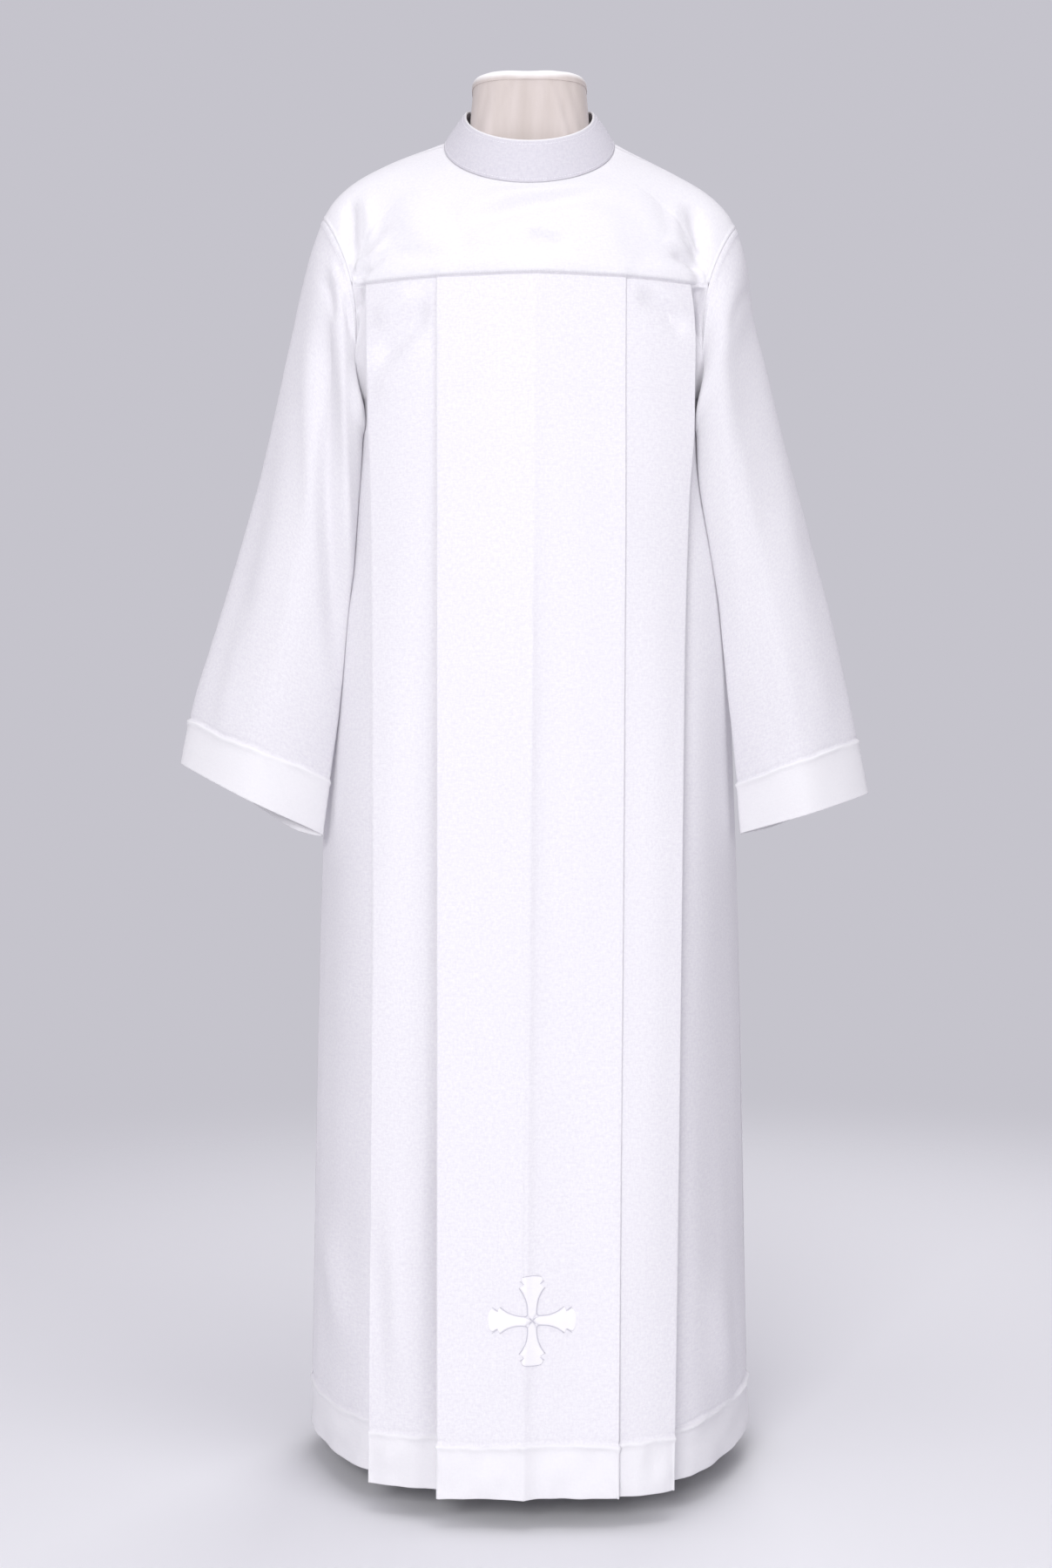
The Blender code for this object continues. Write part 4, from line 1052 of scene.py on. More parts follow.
def sleeveRings(stations, side, angles):
    # a closed smooth curve through the five corners of each station, read at the angles
    size = dict(zip(sleeveColumns, np.array(stations).T * mm))

    def corner(name):
        return np.stack([side * size[name + "X"], size[name + "Y"], size[name + "Z"]], axis=-1)

    outer, inner, rear = corner("outer"), corner("inner"), corner("rear")
    forward = np.array([0, -1, 0])
    frontMiddle = (outer + inner) / 2 + forward * size["front"][:, None]
    backMiddle = (outer + rear) / 2 - forward * size["back"][:, None]
    knots = np.stack([outer, frontMiddle, inner, rear, backMiddle])
    at = np.radians(np.array(sleeveMake["cornerAngles"], float))
    around = np.concatenate([at[-2:] - fullTurn, at, at[:2] + fullTurn])
    values = np.concatenate([knots[-2:], knots, knots[:2]])
    # the slopes are the chords of the neighbours, as a sewn curve takes them
    slopes = np.empty_like(values)
    slopes[1:-1] = (values[2:] - values[:-2]) / (around[2:] - around[:-2])[:, None, None]
    i = np.searchsorted(around[2:-2], angles, side="right") + 1
    step = (around[i + 1] - around[i])[:, None, None]
    t = (angles - around[i])[:, None, None] / step
    p0, p3 = values[i], values[i + 1]
    return bezier(p0, p0 + slopes[i] * step / 3, p3 - slopes[i + 1] * step / 3, p3, t).swapaxes(0, 1)


def makeSleeve(name, side, sleeve):
    size = sleeveMake
    angles = np.linspace(0, fullTurn, size["columns"], endpoint=False)
    degrees = np.degrees(angles)
    stations = sleeveRings(sleeve["stations"], side, angles)
    outs, sews = armholeOuts(side, angles), armholeSews(side, angles)
    low = ((1 - np.cos(angles)) / 2)[:, None]
    level = unit(outs * np.array([1, 1, 0]))
    away = np.stack([0 * angles, -np.sin(angles), np.cos(angles)], axis=-1)
    head = armholePoints(side, angles)
    gap, lowGap = size["headGap"]
    head = head + blend(-sews * gap, level * (robe["cloth"] / 2 + lowGap), low)
    drop = sum(hill(degrees, middle, size["dropWide"]) for middle in size["dropAt"])[:, None]
    leave = blend(unit(blend(sews, level, low)), unit(stations[0] - head), np.minimum(1.15 * drop, 1))
    leave = unit(leave)

    arrive = unit(stations[1] - stations[0])
    span = np.linalg.norm(stations[0] - head, axis=-1, keepdims=True)
    reach = span * blend(size["entryTop"], size["entryLow"], low)
    t = np.concatenate([[0, 0.012, 0.025, 0.04, 0.06], np.linspace(0.09, 1, 24)[:-1]])[:, None]
    entry = bezier(head, head + leave * reach, stations[0] - arrive * span * size["entryTop"], stations[0],
                   t[:, :, None])
    # the front of the underarm leans in to the outer pleat's edge
    lean = hill(degrees, size["leanAt"], size["leanWide"])[None] * (6.75 * t**2 * (1 - t))
    entry[:, :, 0] -= side * sleeve["leanIn"][0] * lean
    entry[:, :, 1] -= sleeve["leanIn"][1] * lean

    at = lengthsAlong(stations[:, 0])
    cuffTop, cuffEdge = at[-2:]
    near = cuffTop - np.array(edgeMake["rows"]) * mm
    where = np.concatenate([
        np.linspace(0, near[0] - 4 * mm, 52), near, np.linspace(near[-1] + 4 * mm, cuffEdge - 3 * mm, 9),
        cuffEdge + np.array([-1.0, 0.0]) * mm,
    ])
    middle = np.concatenate([entry, throughPoints(at, stations, where)])
    start = len(entry)
    headWeight = np.concatenate([ease(0.05, 0.0, t[:, 0]), np.zeros(len(where))])[:, None, None]
    normals = gridNormals(middle, True, (side, 0, 0), (60, 0))
    normals = unit(blend(normals, unit(blend(outs, away, low))[None], headWeight))

    x, z = side * middle[:, :, 0], middle[:, :, 2]
    push = ease(0.25, -0.45, normals[:, :, 1]) * creases(x, z, sleeve["frontFolds"])
    push += ease(-0.25, 0.45, normals[:, :, 1]) * creases(x, z, sleeve["backFolds"])
    push += unevenness(x, z, size["waves"], side + 5) * ease(*size["wavesZ"], z)
    above = np.concatenate([np.full(start, 1.0), cuffTop - where])
    band = doubledBand(above)
    fromHead = np.linalg.norm(middle - head[None], axis=-1)
    push *= (1 - 0.4 * band[:, None]) * ease(0.0, 12 * mm, fromHead)
    push += relief(fromHead, size["seamPuff"]) - relief(fromHead, size["seamDip"])
    around = lengthsAlong(np.concatenate([middle[-1], middle[-1, :1]]))[None, 1:]
    _, doubledOrRimHighlight, pucker = turnedEdge(above[:, None], around, side + 3, side)
    push += pucker + unevenness(x, z, size["smallWaves"], side + 9) * ease(0.0, 20 * mm, fromHead)
    middle = middle + normals * push[:, :, None]
    thick = blend(robe["cloth"], robe["hemCloth"], band)
    piece = clothShell(name, middle, normals, thick, sleeveCloth, closed=True, doubledOrRimHighlight=doubledOrRimHighlight)
    return piece, middle, normals, above


leftPiece, leftGrid, leftNormals, leftAbove = makeSleeve("sleeveLeft", -1, leftSleeve)
rightPiece, rightGrid, rightNormals, rightAbove = makeSleeve("sleeveRight", 1, rightSleeve)
print("sleeves ready")


def makeCollar():
    size = collarSize
    end = math.pi - math.radians(size["openingHalf"])
    theta = np.linspace(-end, end, size["columns"])
    base, top = edgePoint(neckSize, theta), edgePoint(collarSize, theta)
    around = unit(edgePoint(neckSize, theta + 0.01) - edgePoint(neckSize, theta - 0.01))
    rise = unit(top - base)
    out = unit(np.cross(rise, around))
    out = np.where((out * base * np.array([1, 1, 0])).sum(axis=-1, keepdims=True) < 0, -out, out)
    half = size["thick"] / 2
    height = np.linalg.norm(top - base, axis=-1, keepdims=True)
    # once round the band's section: up the outside, over the folded top and down the inside
    section = []
    for s in np.concatenate([np.linspace(-0.01, 0.06, 4), np.linspace(0.12, 0.94, size["rows"])]):
        swell = size["swell"] * math.sin(math.pi * max(s, 0)) - size["seamDip"] * hill(s, 0, 0.035)
        section.append((s, half + swell, 0.0))
    section += [(1.0, half * math.cos(turn), half * math.sin(turn)) for turn in np.linspace(0, math.pi, 9)]
    section += [(s, -half, 0.0) for s in np.linspace(0.94, 0.0, size["rows"])]
    ripple = size["wave"] * np.sin(theta * 5 + 1.3 * np.sin(theta * 2))[:, None]
    rings = []
    for s, aside, up in section:
        atHeight = height * s - (half if s == 1.0 else 0)
        rings.append(base + rise * (atHeight + up) + out * (aside + ripple * math.sin(math.pi * max(s, 0))))
    grid = np.array(rings)
    rows, columns = grid.shape[:2]
    index = gridIndex(rows, columns)
    faces = gridFaces(np.concatenate([index, index[:1]])).tolist()
    faces += [index[:, 0].tolist(), index[::-1, -1].tolist()]
    points = grid.reshape(-1, 3)
    if looksInward(points, faces[5 * (columns - 1) + columns // 2], (0, -1, 0)):
        faces = [face[::-1] for face in faces]
    # the folded top edge is marked so that it takes the collar's lighter colour, a painted highlight along
    # the rim
    fold = np.repeat([0.9 if s == 1.0 else 0.0 for s, _, _ in section], columns)
    piece = makePiece("collarBand", points, faces, collarCloth, grainOf(grid), fold)
    return piece, grid, np.broadcast_to(out, grid.shape)


collarPiece, collarGrid, collarOuts = makeCollar()
print("collar ready")


# dress form

formSize = {
    "columns": (20, 44),
    "clampZ": 1.19,
    "restAngles": (10, 40),
    "shoulderGap": 0.9 * mm,
    "chestGap": 12 * mm,
    "shoulderLower": (0.0, 1 * mm, 5 * mm),
    "neckGap": 5 * mm,
    "neckDrop": 2 * mm,
    # height, dip in front, half width, half depth (mm)
    "neck": (
        (1432, 0, 59.8, 52.5),
        (1408, 22, 62.8, 55),
        (1394, 48, 64, 57.5),
    ),
    # height, rise at the sides, half width, half depth (mm)
    "torso": (
        (1196, 30, 156, 84),
        (1120, 0, 146, 88),
        (990, 0, 118, 78),
        (860, 0, 145, 98),
        (760, 0, 160, 110),
        (665, 0, 152, 106),
        (645, 0, 136, 94),
    ),
    # angle from the front at the top and lower down (degrees), half width (degrees), depth (mm)
    "wrinkles": (
        (-6, -26, 5.0, -1.3), (-2, -13, 4.0, 0.9), (0, -3, 3.5, -1.4), (2, 6, 4.0, 0.8),
        (4, 17, 4.5, -1.5), (8, 31, 5.0, 1.0), (12, 42, 5.0, -1.1), (-12, -44, 6.0, 0.8),
        (-30, -62, 7.0, -0.9), (30, 64, 7.0, -0.8), (90, 96, 8.0, -0.8), (-84, -90, 8.0, -0.8),
        (140, 138, 9.0, -1.0), (178, 172, 8.0, -1.1), (-150, -144, 9.0, -0.9),
    ),
}
jerseyLook = {
    "streakSize": (60, 60, 7),
    "beige": ((0.455, 0.398, 0.362), (0.648, 0.583, 0.564)),
    # near white on the neck's rounded top, from the first height to the second: a painted highlight where it
    # turns up to the light
    "cap": (0.85, 0.84, 0.835),
    "topHighlightFrom": (1.4385, 1.4440),
    "roughness": 0.85,
    "sheen": 0.15,
    "bump": 0.35,
    "bumpHeight": 0.5 * mm,
}


def jersey(name):
    look = jerseyLook
    material, tree, shader, place = newMaterial(name)
    # streaks that run down the neck
    streaks = noise(tree, stretched(tree, place, look["streakSize"]), 1.0, 3.0)
    beige = mixColour(tree, streaks, *look["beige"])
    uneven = maths(tree, "MULTIPLY", noise(tree, place, 26.0, 2.0), 0.012)
    high = maths(tree, "ADD", addNode(tree, "SeparateXYZ", {0: place}).outputs["Z"], uneven)
    # above a ragged height the colour runs to near white: a painted highlight on the rounded top
    colour = mixColour(tree, spread(tree, high, *look["topHighlightFrom"]), beige, look["cap"])
    finish(tree, shader, colour, noise(tree, place, 900, 2.0), look)
    return material


def keepUnder(points, cloth, gap):
    # moves points that stand closer than the gap under a grid of cloth, or outside it, back below it
    quads = gridFaces(gridIndex(*cloth.shape[:2]))
    tree = BVHTree.FromPolygons(cloth.reshape(-1, 3).tolist(), quads.tolist())
    kept = points.reshape(-1, 3).copy()
    for i in np.nonzero(kept[:, 2] > formSize["clampZ"])[0]:
        hit, normal, _, _ = tree.find_nearest(Vector(kept[i]))
        if normal.dot(hit - Vector((0, 0, robe["underarmZ"]))) < 0:
            normal = -normal
        if (Vector(kept[i]) - hit).dot(normal) > -gap:
            kept[i] = hit - normal * gap
    return kept.reshape(points.shape)


def roundedRing(theta, wide, deep):
    # plan of the neck, flatter in front than an ellipse
    def pushed(value):
        return np.sign(value) * np.abs(value) ** (2 / 3)
    return wide * pushed(np.sin(theta)), -deep * pushed(np.cos(theta))


def signedFromFront(theta):
    return np.remainder(theta + math.pi, fullTurn) - math.pi


def makeForm(material):
    size = formSize
    back = [part[-2:0:-1] for part in yokeLines(1, *size["columns"])]
    lines = [np.concatenate(both) for both in zip(yokeLines(-1, *size["columns"]), back)]
    theta = lines[0]
    shoulder = yokeSurface(lines, (0.0, 0.2, 0.4, 0.6, 0.8, 1.0))
    normals = gridNormals(shoulder, True, (0, -1, 0), (3, 40))
    turned = np.abs(np.degrees(fromFront(theta)) - 90)
    gap = blend(size["shoulderGap"], size["chestGap"], ease(*size["restAngles"], turned))[:, None]
    rings = []
    for z, dip, wide, deep in np.array(size["neck"]) * mm:
        rings.append(np.stack([*roundedRing(theta, wide, deep), z - dip * (1 + np.cos(theta)) / 2], axis=-1))
    inward = np.stack([-np.sin(theta), np.cos(theta), 0 * theta], axis=-1) * size["neckGap"]
    rings.append(edgePoint(neckSize, theta) + inward - np.array([0, 0, size["neckDrop"]]))
    for i, lower in enumerate(size["shoulderLower"], 1):
        rings.append(shoulder[i] - normals[i] * (gap + lower))
    for z, lift, wide, deep in np.array(size["torso"]) * mm:
        height = z + lift * np.sin(theta) ** 2
        rings.append(np.stack([wide * np.sin(theta), -deep * np.cos(theta), height], axis=-1))
    rings = np.array(rings)
    at = lengthsAlong(rings).mean(axis=1)
    neckEnd = at[2]
    where = np.concatenate([np.linspace(0, neckEnd, 26)[:-1], np.linspace(neckEnd, at[-1], 70)])
    grid = throughPoints(at, rings, where)

    normals = gridNormals(grid, True, (0, -1, 0), (2, 40))
    degrees = np.degrees(signedFromFront(theta))[None]
    down = where[:, None] / neckEnd
    push = np.zeros(grid.shape[:2])
    for top, low, wide, depth in size["wrinkles"]:
        off = np.remainder(degrees - blend(top, low, np.clip(down, 0, 1) ** 0.8) + 180, 360) - 180
        push += depth * mm * hill(off, 0, wide)
    # none at the very top, fading out under the collar
    push *= ease(-0.02, 0.12, down) * ease(2.2, 1.0, down)
    grid = grid + normals * push[:, :, None]
    fromRow = int(np.searchsorted(where, at[3] + 4 * mm))
    for cloth in (frontYokeGrid, backYokeGrid):
        grid[fromRow:] = keepUnder(grid[fromRow:], cloth, size["shoulderGap"])
    return ringTube("formTorso", grid, material)


capSize = {
    "lowZ": 1.4300,
    "topZ": 1.4412,
    "halfWidth": 0.0604,
    "halfDeep": 0.0531,
    "round": 0.0075,
    "pinch": 0.8 * mm,
    "ripple": 0.25 * mm,
}


def makeCap(material):
    # the rounded cover on top of the neck, gathered a little at the front
    size = capSize
    low, top, corner = size["lowZ"], size["topZ"], size["round"]
    theta = np.linspace(0, fullTurn, 96, endpoint=False)
    profile = [(-4 * mm, low), (0.0, low)]
    profile += [(-corner * (1 - math.cos(a)), top - corner * (1 - math.sin(a)))
                for a in np.linspace(0, quarterTurn, 9)]
    profile += [(-inside, top) for inside in (0.016, 0.026, 0.036, 0.046)]
    pinch = size["pinch"] * hill(signedFromFront(theta), 0, 0.10)
    ripple = size["ripple"] * np.minimum(np.sin(theta * 7 + 2 * np.sin(theta * 2)), 0)
    rings = []
    for k, (inside, z) in enumerate(profile):
        x, y = roundedRing(theta, size["halfWidth"] + inside, size["halfDeep"] + inside)
        rings.append(np.stack([x, y, z - pinch * (2 < k < 11) + ripple * (3 < k < 13)], axis=-1))
    return ringTube("neckCover", np.array(rings), material, flipped=True)


formPiece = makeForm(jersey("formJersey"))
capPiece = makeCap(jersey("capCloth"))
print("dress form ready")


# cross ornament; places along an arm are shares of its length, widths are in metres

crossSize = {
    "centre": (0.0021, 0.1936),
    "half": 0.0425,
    "waistTo": 0.14,
    "waist": 0.0042,
    "horn": 0.0124,
    "hornAt": 0.72,
    "notch": 0.0086,
    "notchAt": 0.785,
    "cap": 0.0108,
    "capAt": 0.885,
    "raise": 0.9 * mm,
    "rib": 0.10 * mm,
    "sunk": 0.15 * mm,
    "outline": 0.47 * mm,
    # strokes in the notches, from the inner to the outer end: place along the arm, distance aside
    "sideStroke": ((0.765, 0.0082), (0.900, 0.0122)),
    "uprightStroke": ((0.800, 0.0075), (0.870, 0.0118)),
    "middleStroke": 0.0042,
}
crossArms = ((1, 0), (0, 1), (-1, 0), (0, -1))
satinLook = {
    "colours": ((0.800, 0.785, 0.822), (0.855, 0.842, 0.868)),
    "roughness": 0.55,
    "sheen": 0.2,
    "bump": 0.4,
    "bumpHeight": 0.25 * mm,
}
frontTree = BVHTree.FromPolygons([v.co.copy() for v in frontPiece.data.vertices],
                                 [tuple(f.vertices) for f in frontPiece.data.polygons])


def onFront(u, v):
    # the point and normal on the front panel, u and v from the cross's middle
    x, z = crossSize["centre"][0] + u, crossSize["centre"][1] + v
    hit, normal, _, _ = frontTree.ray_cast(Vector((x, -1.0, z)), Vector((0, 1, 0)))
    return np.array(hit), np.array(normal)


def armHalf(s):
    # half width of an arm from the middle, s = 0, to its tip, s = 1
    size = crossSize
    start, hornAt, notchAt, capAt = (size[key] for key in ("waistTo", "hornAt", "notchAt", "capAt"))
    flare = blend(size["waist"], size["horn"], np.clip((s - start) / (hornAt - start), 0, 1) ** 2.7)
    toNotch = blend(size["horn"], size["notch"], ease(hornAt, notchAt, s))
    toCap = blend(size["notch"], size["cap"], ease(notchAt, capAt, s))
    tip = size["cap"] * np.sqrt(np.clip(1 - ((s - capAt) / (1.001 - capAt)) ** 2, 0, 1))
    return np.where(s < hornAt, flare, np.where(s < notchAt, toNotch, np.where(s < capAt, toCap, tip)))


def makeCross(material):
    size = crossSize
    across = np.linspace(-1, 1, 19)
    spans = ((0.0, 0.70, 22), (0.72, 0.90, 14), (0.91, 1.0, 9))
    steps = np.concatenate([np.linspace(*span) for span in spans])
    halves = np.maximum(armHalf(steps), 0.6 * mm)
    points, faces = [], []
    for cosine, sine in crossArms:
        faces.append(gridFaces(gridIndex(len(steps), len(across)) + len(points)))
        for s, half in zip(steps, halves):
            for c in across:
                u, v = s * size["half"], c * half * min(s / 0.16, 1)
                hit, normal = onFront(u * cosine - v * sine, u * sine + v * cosine)
                edge = math.sqrt(1 - c * c) * min(1.0, (1.0 - s) / 0.05 + 0.15)
                # the stitches lie across the arm, so the relief is ribbed a little along it
                rib = size["rib"] * math.sin(s * 150 + 2.0 * abs(c)) * edge
                lift = size["raise"] * (0.25 + 0.75 * edge) + rib - size["sunk"]
                points.append(hit + normal * lift)
    piece = makePiece("crossSatin", np.array(points), np.concatenate(faces).tolist(), material)
    wall = piece.modifiers.new("back", "SOLIDIFY")
    wall.thickness = 0.6 * mm
    wall.offset = -1
    return piece


def tubeAlong(path, normals, radius, sides=7, taper=0.35):
    # points and faces of a thread laid along a path on the cloth
    along = unit(np.gradient(path, axis=0))
    normals = unit(normals - (normals * along).sum(axis=1, keepdims=True) * along)
    aside = np.cross(along, normals)
    count = len(path)
    t = np.linspace(0, 1, count)
    fat = radius * (taper + (1 - taper) * np.clip(np.minimum(t, 1 - t) * count / 2.2, 0, 1))
    turn = np.linspace(0, fullTurn, sides, endpoint=False)[None, :, None]
    ring = normals[:, None] * np.cos(turn) + aside[:, None] * np.sin(turn)
    points = (path[:, None] + ring * fat[:, None, None]).reshape(-1, 3)
    index = gridIndex(count, sides, closed=True)
    quads = gridFaces(index)[:, [0, 3, 2, 1]].tolist()
    return points, quads + [index[0, :-1][::-1].tolist(), index[-1, :-1].tolist()]


def joined(name, parts, material):
    points, faces, base = [], [], 0
    for somePoints, someFaces in parts:
        points.append(somePoints)
        faces += [[v + base for v in face] for face in someFaces]
        base += len(somePoints)
    return makePiece(name, np.concatenate(points), faces, material)


def armLines(upright):
    # the cords of one arm that points along u: round the inner corner, in the notches, over the tip
    size = crossSize
    s = np.linspace(size["hornAt"], 0.125, 26)
    leg = pair(s * size["half"], armHalf(s) + 0.2 * mm)
    corner = np.concatenate([leg, leg[::-1, ::-1]])
    for _ in range(4):
        corner[1:-1] = (corner[:-2] + 2 * corner[1:-1] + corner[2:]) / 4
    lines = [corner]
    inner, outer = np.array(size["uprightStroke" if upright else "sideStroke"])
    for mirror in (-1, 1):
        lines.append(blend(inner, outer, np.linspace(0, 1, 6)[:, None]) * (size["half"], mirror))
    if upright:
        c = np.linspace(-0.78, 0.78, 12)
        lines.append(pair((0.985 - 0.035 * c**2) * size["half"], c * size["cap"]))
    return lines


def makeOutlines(material):
    # fine grey cords at the arms' edges and two short strokes across the middle
    size = crossSize
    lines = []
    for cosine, sine in crossArms:
        for line in armLines(sine != 0):
            u, v = line.T
            lines.append((pair(u * cosine - v * sine, u * sine + v * cosine), 0.35 * mm))
    k = np.linspace(-size["middleStroke"], size["middleStroke"], 6)
    for turn in (45, 135):
        stroke = pair(k * math.cos(math.radians(turn)), k * math.sin(math.radians(turn)))
        lines.append((stroke, size["raise"] + 0.1 * mm))
    parts = []
    for line, lift in lines:
        path, normals = (np.array(rows) for rows in zip(*(onFront(u, v) for u, v in line)))
        parts.append(tubeAlong(path + normals * lift, normals, size["outline"]))
    return joined("crossOutline", parts, material)


def satin():
    material, tree, shader, place = newMaterial("crossThread")
    inputs = {"Scale": 420, "Distortion": 1.5, "Vector": place}
    wave = addNode(tree, "TexWave", inputs, bands_direction="DIAGONAL").outputs["Fac"]
    finish(tree, shader, mixColour(tree, wave, *satinLook["colours"]), wave, satinLook)
    return material


crossPiece = makeCross(satin())
crossOutline = makeOutlines(outlineThread)
print("cross ready")


# sewing

stitchSize = {
    "thread": 0.22 * mm,
    "top": (3.0 * mm, 2.2 * mm),
    "pick": (edgeMake["stitchPitch"], 1.2 * mm),
    "pickBelow": 1.0 * mm,
    "pickLift": 0.15 * mm,
    "fromArmhole": 5.2 * mm,
    "fromYokeEdge": 5.0 * mm,
    "onCollar": {"sewnCollarBase": 0.07, "sewnCollarTop": 0.93},
}


def stitchRow(path, normals, kind="top"):
    # short stitches end to end along a path that lies on the cloth's outside
    pitch, long = stitchSize[kind]
    far = lengthsAlong(path)
    sink = np.array([-0.12, 0.10, 0.10, -0.12])[:, None] * mm
    parts = []
    for begin in np.arange(pitch / 2, far[-1] - long, pitch):
        at = begin + np.linspace(0, long, 4)
        line, out = (np.stack([np.interp(at, far, rows[:, k]) for k in range(3)], axis=1)
                     for rows in (path, normals))
        out = unit(out)
        parts.append(tubeAlong(line + out * sink, out, stitchSize["thread"], sides=5, taper=0.7))
    return parts


def rowAt(grid, normals, distance, lift=0.0):
    # a line at a set distance from the grid's first row, in every column
    lengths = lengthsAlong(grid)
    distance = np.broadcast_to(distance, grid.shape[1])
    points, outs = (np.array([[np.interp(distance[j], lengths[:, j], rows[:, j, k]) for k in range(3)]
                              for j in range(grid.shape[1])]) for rows in (grid, normals))
    outs = unit(outs)
    return points + outs * lift, outs


def ringRow(rows):
    return np.concatenate([rows, rows[:1]])


def makeSewing():
    size = stitchSize
    half = robe["cloth"] / 2
    made = {}
    sleeves = (("Left", leftGrid, leftNormals, leftAbove), ("Right", rightGrid, rightNormals, rightAbove))
    # beside the armhole, on the sleeve
    for name, grid, normals, _ in sleeves:
        path, outs = rowAt(grid, normals, size["fromArmhole"], half)
        made["sewnSleeve" + name] = stitchRow(ringRow(path), ringRow(outs))
    # along the lower edge of both yokes, from corner to corner
    inner = slice(yokeSize["columns"][0] + 1, -yokeSize["columns"][0] - 1)
    yokes = (("Front", frontYokeGrid, frontYokeNormals), ("Back", backYokeGrid, backYokeNormals))
    for name, grid, normals in yokes:
        path, outs = rowAt(grid[::-1], normals[::-1], size["fromYokeEdge"], half)
        made["sewnYoke" + name] = stitchRow(path[inner], outs[inner])
    # on the collar's outside, one row above its base and one below its folded top
    rows = slice(0, collarSize["rows"] + 4)
    grid, outs = collarGrid[rows], collarOuts[rows]
    for name, share in size["onCollar"].items():
        made[name] = stitchRow(*rowAt(grid, outs, share * lengthsAlong(grid)[-1]))
    # the pick stitches that hold the hem and the cuffs
    lift = half + size["pickLift"]
    i = int(np.argmin(np.abs(panelZ - (hemTop - size["pickBelow"]))))
    panels = (("Front", frontGrid, frontNormals, frontPart), ("Back", backGrid, backNormals, backPart))
    for name, grid, normals, part in panels:
        made["sewnHem" + name] = []
        for stretchOf in np.split(np.arange(len(part)), np.nonzero(np.diff(part))[0] + 1):
            if part[stretchOf[0]] in (centrePart, outerPart, sidePart):
                outs = normals[i, stretchOf]
                made["sewnHem" + name] += stitchRow(grid[i, stretchOf] + outs * lift, outs, "pick")
    for name, grid, normals, above in sleeves:
        i = int(np.argmin(np.abs(above + size["pickBelow"])))
        path = grid[i] + normals[i] * lift
        made["sewnCuff" + name] = stitchRow(ringRow(path), ringRow(normals[i]), "pick")
    return {name: joined(name, parts, stitchThread) for name, parts in made.items()}


sewing = makeSewing()
print("sewing ready:", sum(len(p.data.polygons) for p in sewing.values()), "faces")


# what each piece stands for

standsFor = (
    (collarPiece, "collar", "collar_cloth"),
    (yokeFront, "yoke_front", "yoke_cloth"),
    (yokeBack, "yoke_back", "yoke_cloth"),
    (frontPiece, "front_panel", "panel_cloth"),
    (backPiece, "back_panel", "panel_cloth"),
    (leftPiece, "sleeve_left", "sleeve_cloth"),
    (rightPiece, "sleeve_right", "sleeve_cloth"),
    (crossPiece, "cross", "embroidery"),
    (formPiece, "dress_form", "form_jersey"),
    (capPiece, "neck_cap", "cap_cloth"),
)
for piece, node, slot in standsFor:
    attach(piece, "root")
    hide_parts(node)
for name, piece in sewing.items():
    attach(piece, "root")
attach(crossOutline, "root")
for node in ("pole", "base"):
    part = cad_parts[node]
    part.data.materials.clear()
    part.data.materials.append(standPaint)


# floor, light and camera

studio = {
    "floor": (0.80, 0.80, 0.825),
    "floorFar": 9.0,
    "floorFade": (0.8, 3.0),
    "aim": (0, 0, 0.75),
    # where each lamp stands, its width and its power
    "lamps": {
        "key": ((-0.80, -3.8, 1.65), 1.2, 81.5),
        "fill": ((1.9, -2.4, 1.5), 1.8, 18.0),
        "side": ((-2.3, -1.2, 1.2), 1.8, 6.0),
        "top": ((0.1, -0.7, 3.0), 1.2, 13.0),
        "rear": ((0.9, 3.6, 2.0), 1.8, 50.0),
    },
    "world": (0.83, 0.80, 0.895),
    "worldStrength": 0.535,
    "worldSeen": (0.56, 0.55, 0.605),
    "camera": (-0.00367, -2.4, 0.704),
    "sensor": 36,
    "lens": 36 * 2616 / 1800,
}


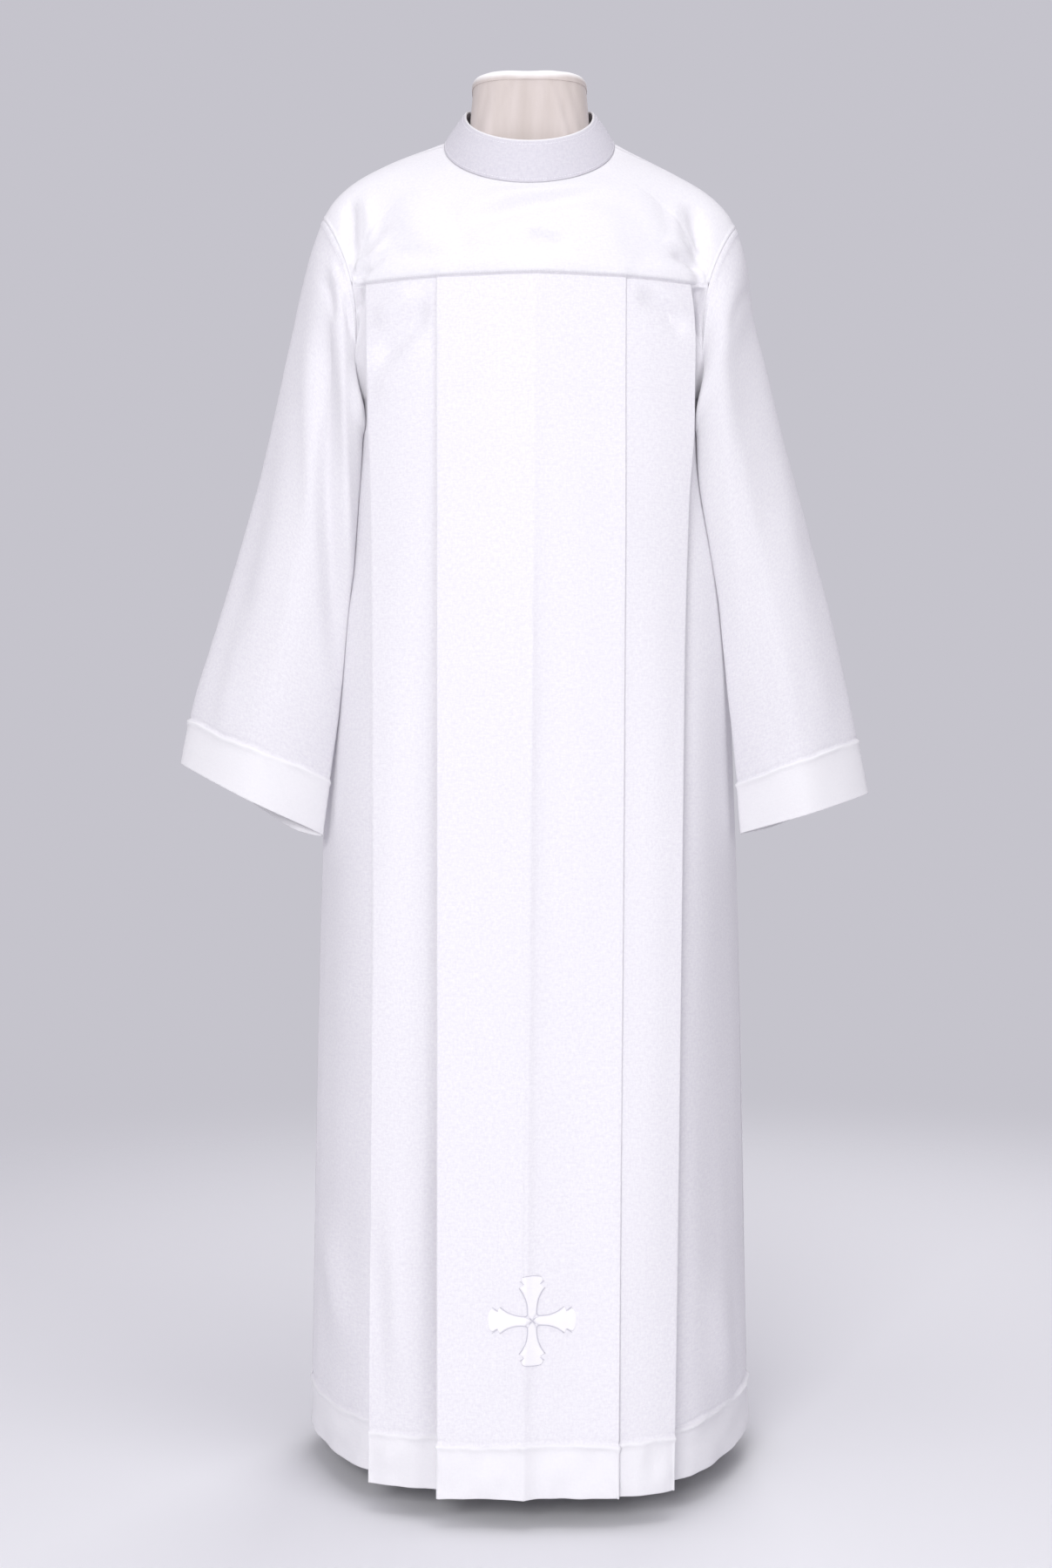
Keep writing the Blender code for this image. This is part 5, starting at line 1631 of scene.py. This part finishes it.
def makeFloor():
    # a round floor that fades out into the studio's air
    turn = np.linspace(0, fullTurn, 97)[:-1]
    rim = np.stack([np.cos(turn), np.sin(turn), 0 * turn], axis=1) * studio["floorFar"]
    material, tree, shader, place = newMaterial("floorPaper")
    far = addNode(tree, "VectorMath", {0: place}, operation="LENGTH").outputs["Value"]
    near, gone = studio["floorFade"]
    inputs = {"Value": far, "From Min": near, "From Max": gone, "To Min": 1.0, "To Max": 0.0}
    fade = addNode(tree, "MapRange", inputs, interpolation_type="SMOOTHERSTEP")
    feed(tree, shader.inputs["Alpha"], fade.outputs["Result"])
    feed(tree, shader.inputs["Base Color"], studio["floor"])
    shader.inputs["Roughness"].default_value = 0.9
    piece = makePiece("floor", rim, [list(range(len(rim)))], material)
    piece.data.shade_flat()
    return piece


def makeLamp(name, where, size, power):
    light = bpy.data.lights.new(name, "AREA")
    light.size = size
    light.energy = power
    lamp = bpy.data.objects.new(name, light)
    lamp.location = where
    lamp.rotation_euler = (Vector(studio["aim"]) - Vector(where)).to_track_quat("-Z", "Y").to_euler()
    lamp.visible_camera = False
    bpy.context.scene.collection.objects.link(lamp)


def makeAir():
    # the air is paler to the eye than the light it gives
    world = bpy.data.worlds.new("studioAir")
    world.use_nodes = True
    tree = world.node_tree
    light = tree.nodes["Background"]
    feed(tree, light.inputs["Color"], studio["world"])
    light.inputs["Strength"].default_value = studio["worldStrength"]
    seen = addNode(tree, "Background", {"Color": studio["worldSeen"]})
    toEye = addNode(tree, "LightPath").outputs["Is Camera Ray"]
    mix = addNode(tree, "MixShader", {0: toEye, 1: light.outputs[0], 2: seen.outputs[0]})
    feed(tree, tree.nodes["World Output"].inputs["Surface"], mix.outputs[0])
    bpy.context.scene.world = world


def makeCamera():
    lens = bpy.data.cameras.new("camera")
    lens.sensor_width = studio["sensor"]
    lens.lens = studio["lens"]
    camera = bpy.data.objects.new("camera", lens)
    camera.location = studio["camera"]
    camera.rotation_euler = (quarterTurn, 0, 0)
    bpy.context.scene.collection.objects.link(camera)
    bpy.context.scene.camera = camera
    bpy.context.scene.view_settings.view_transform = "Standard"


floor = makeFloor()
for name, lamp in studio["lamps"].items():
    makeLamp(name, *lamp)
makeAir()
makeCamera()
print("studio ready")
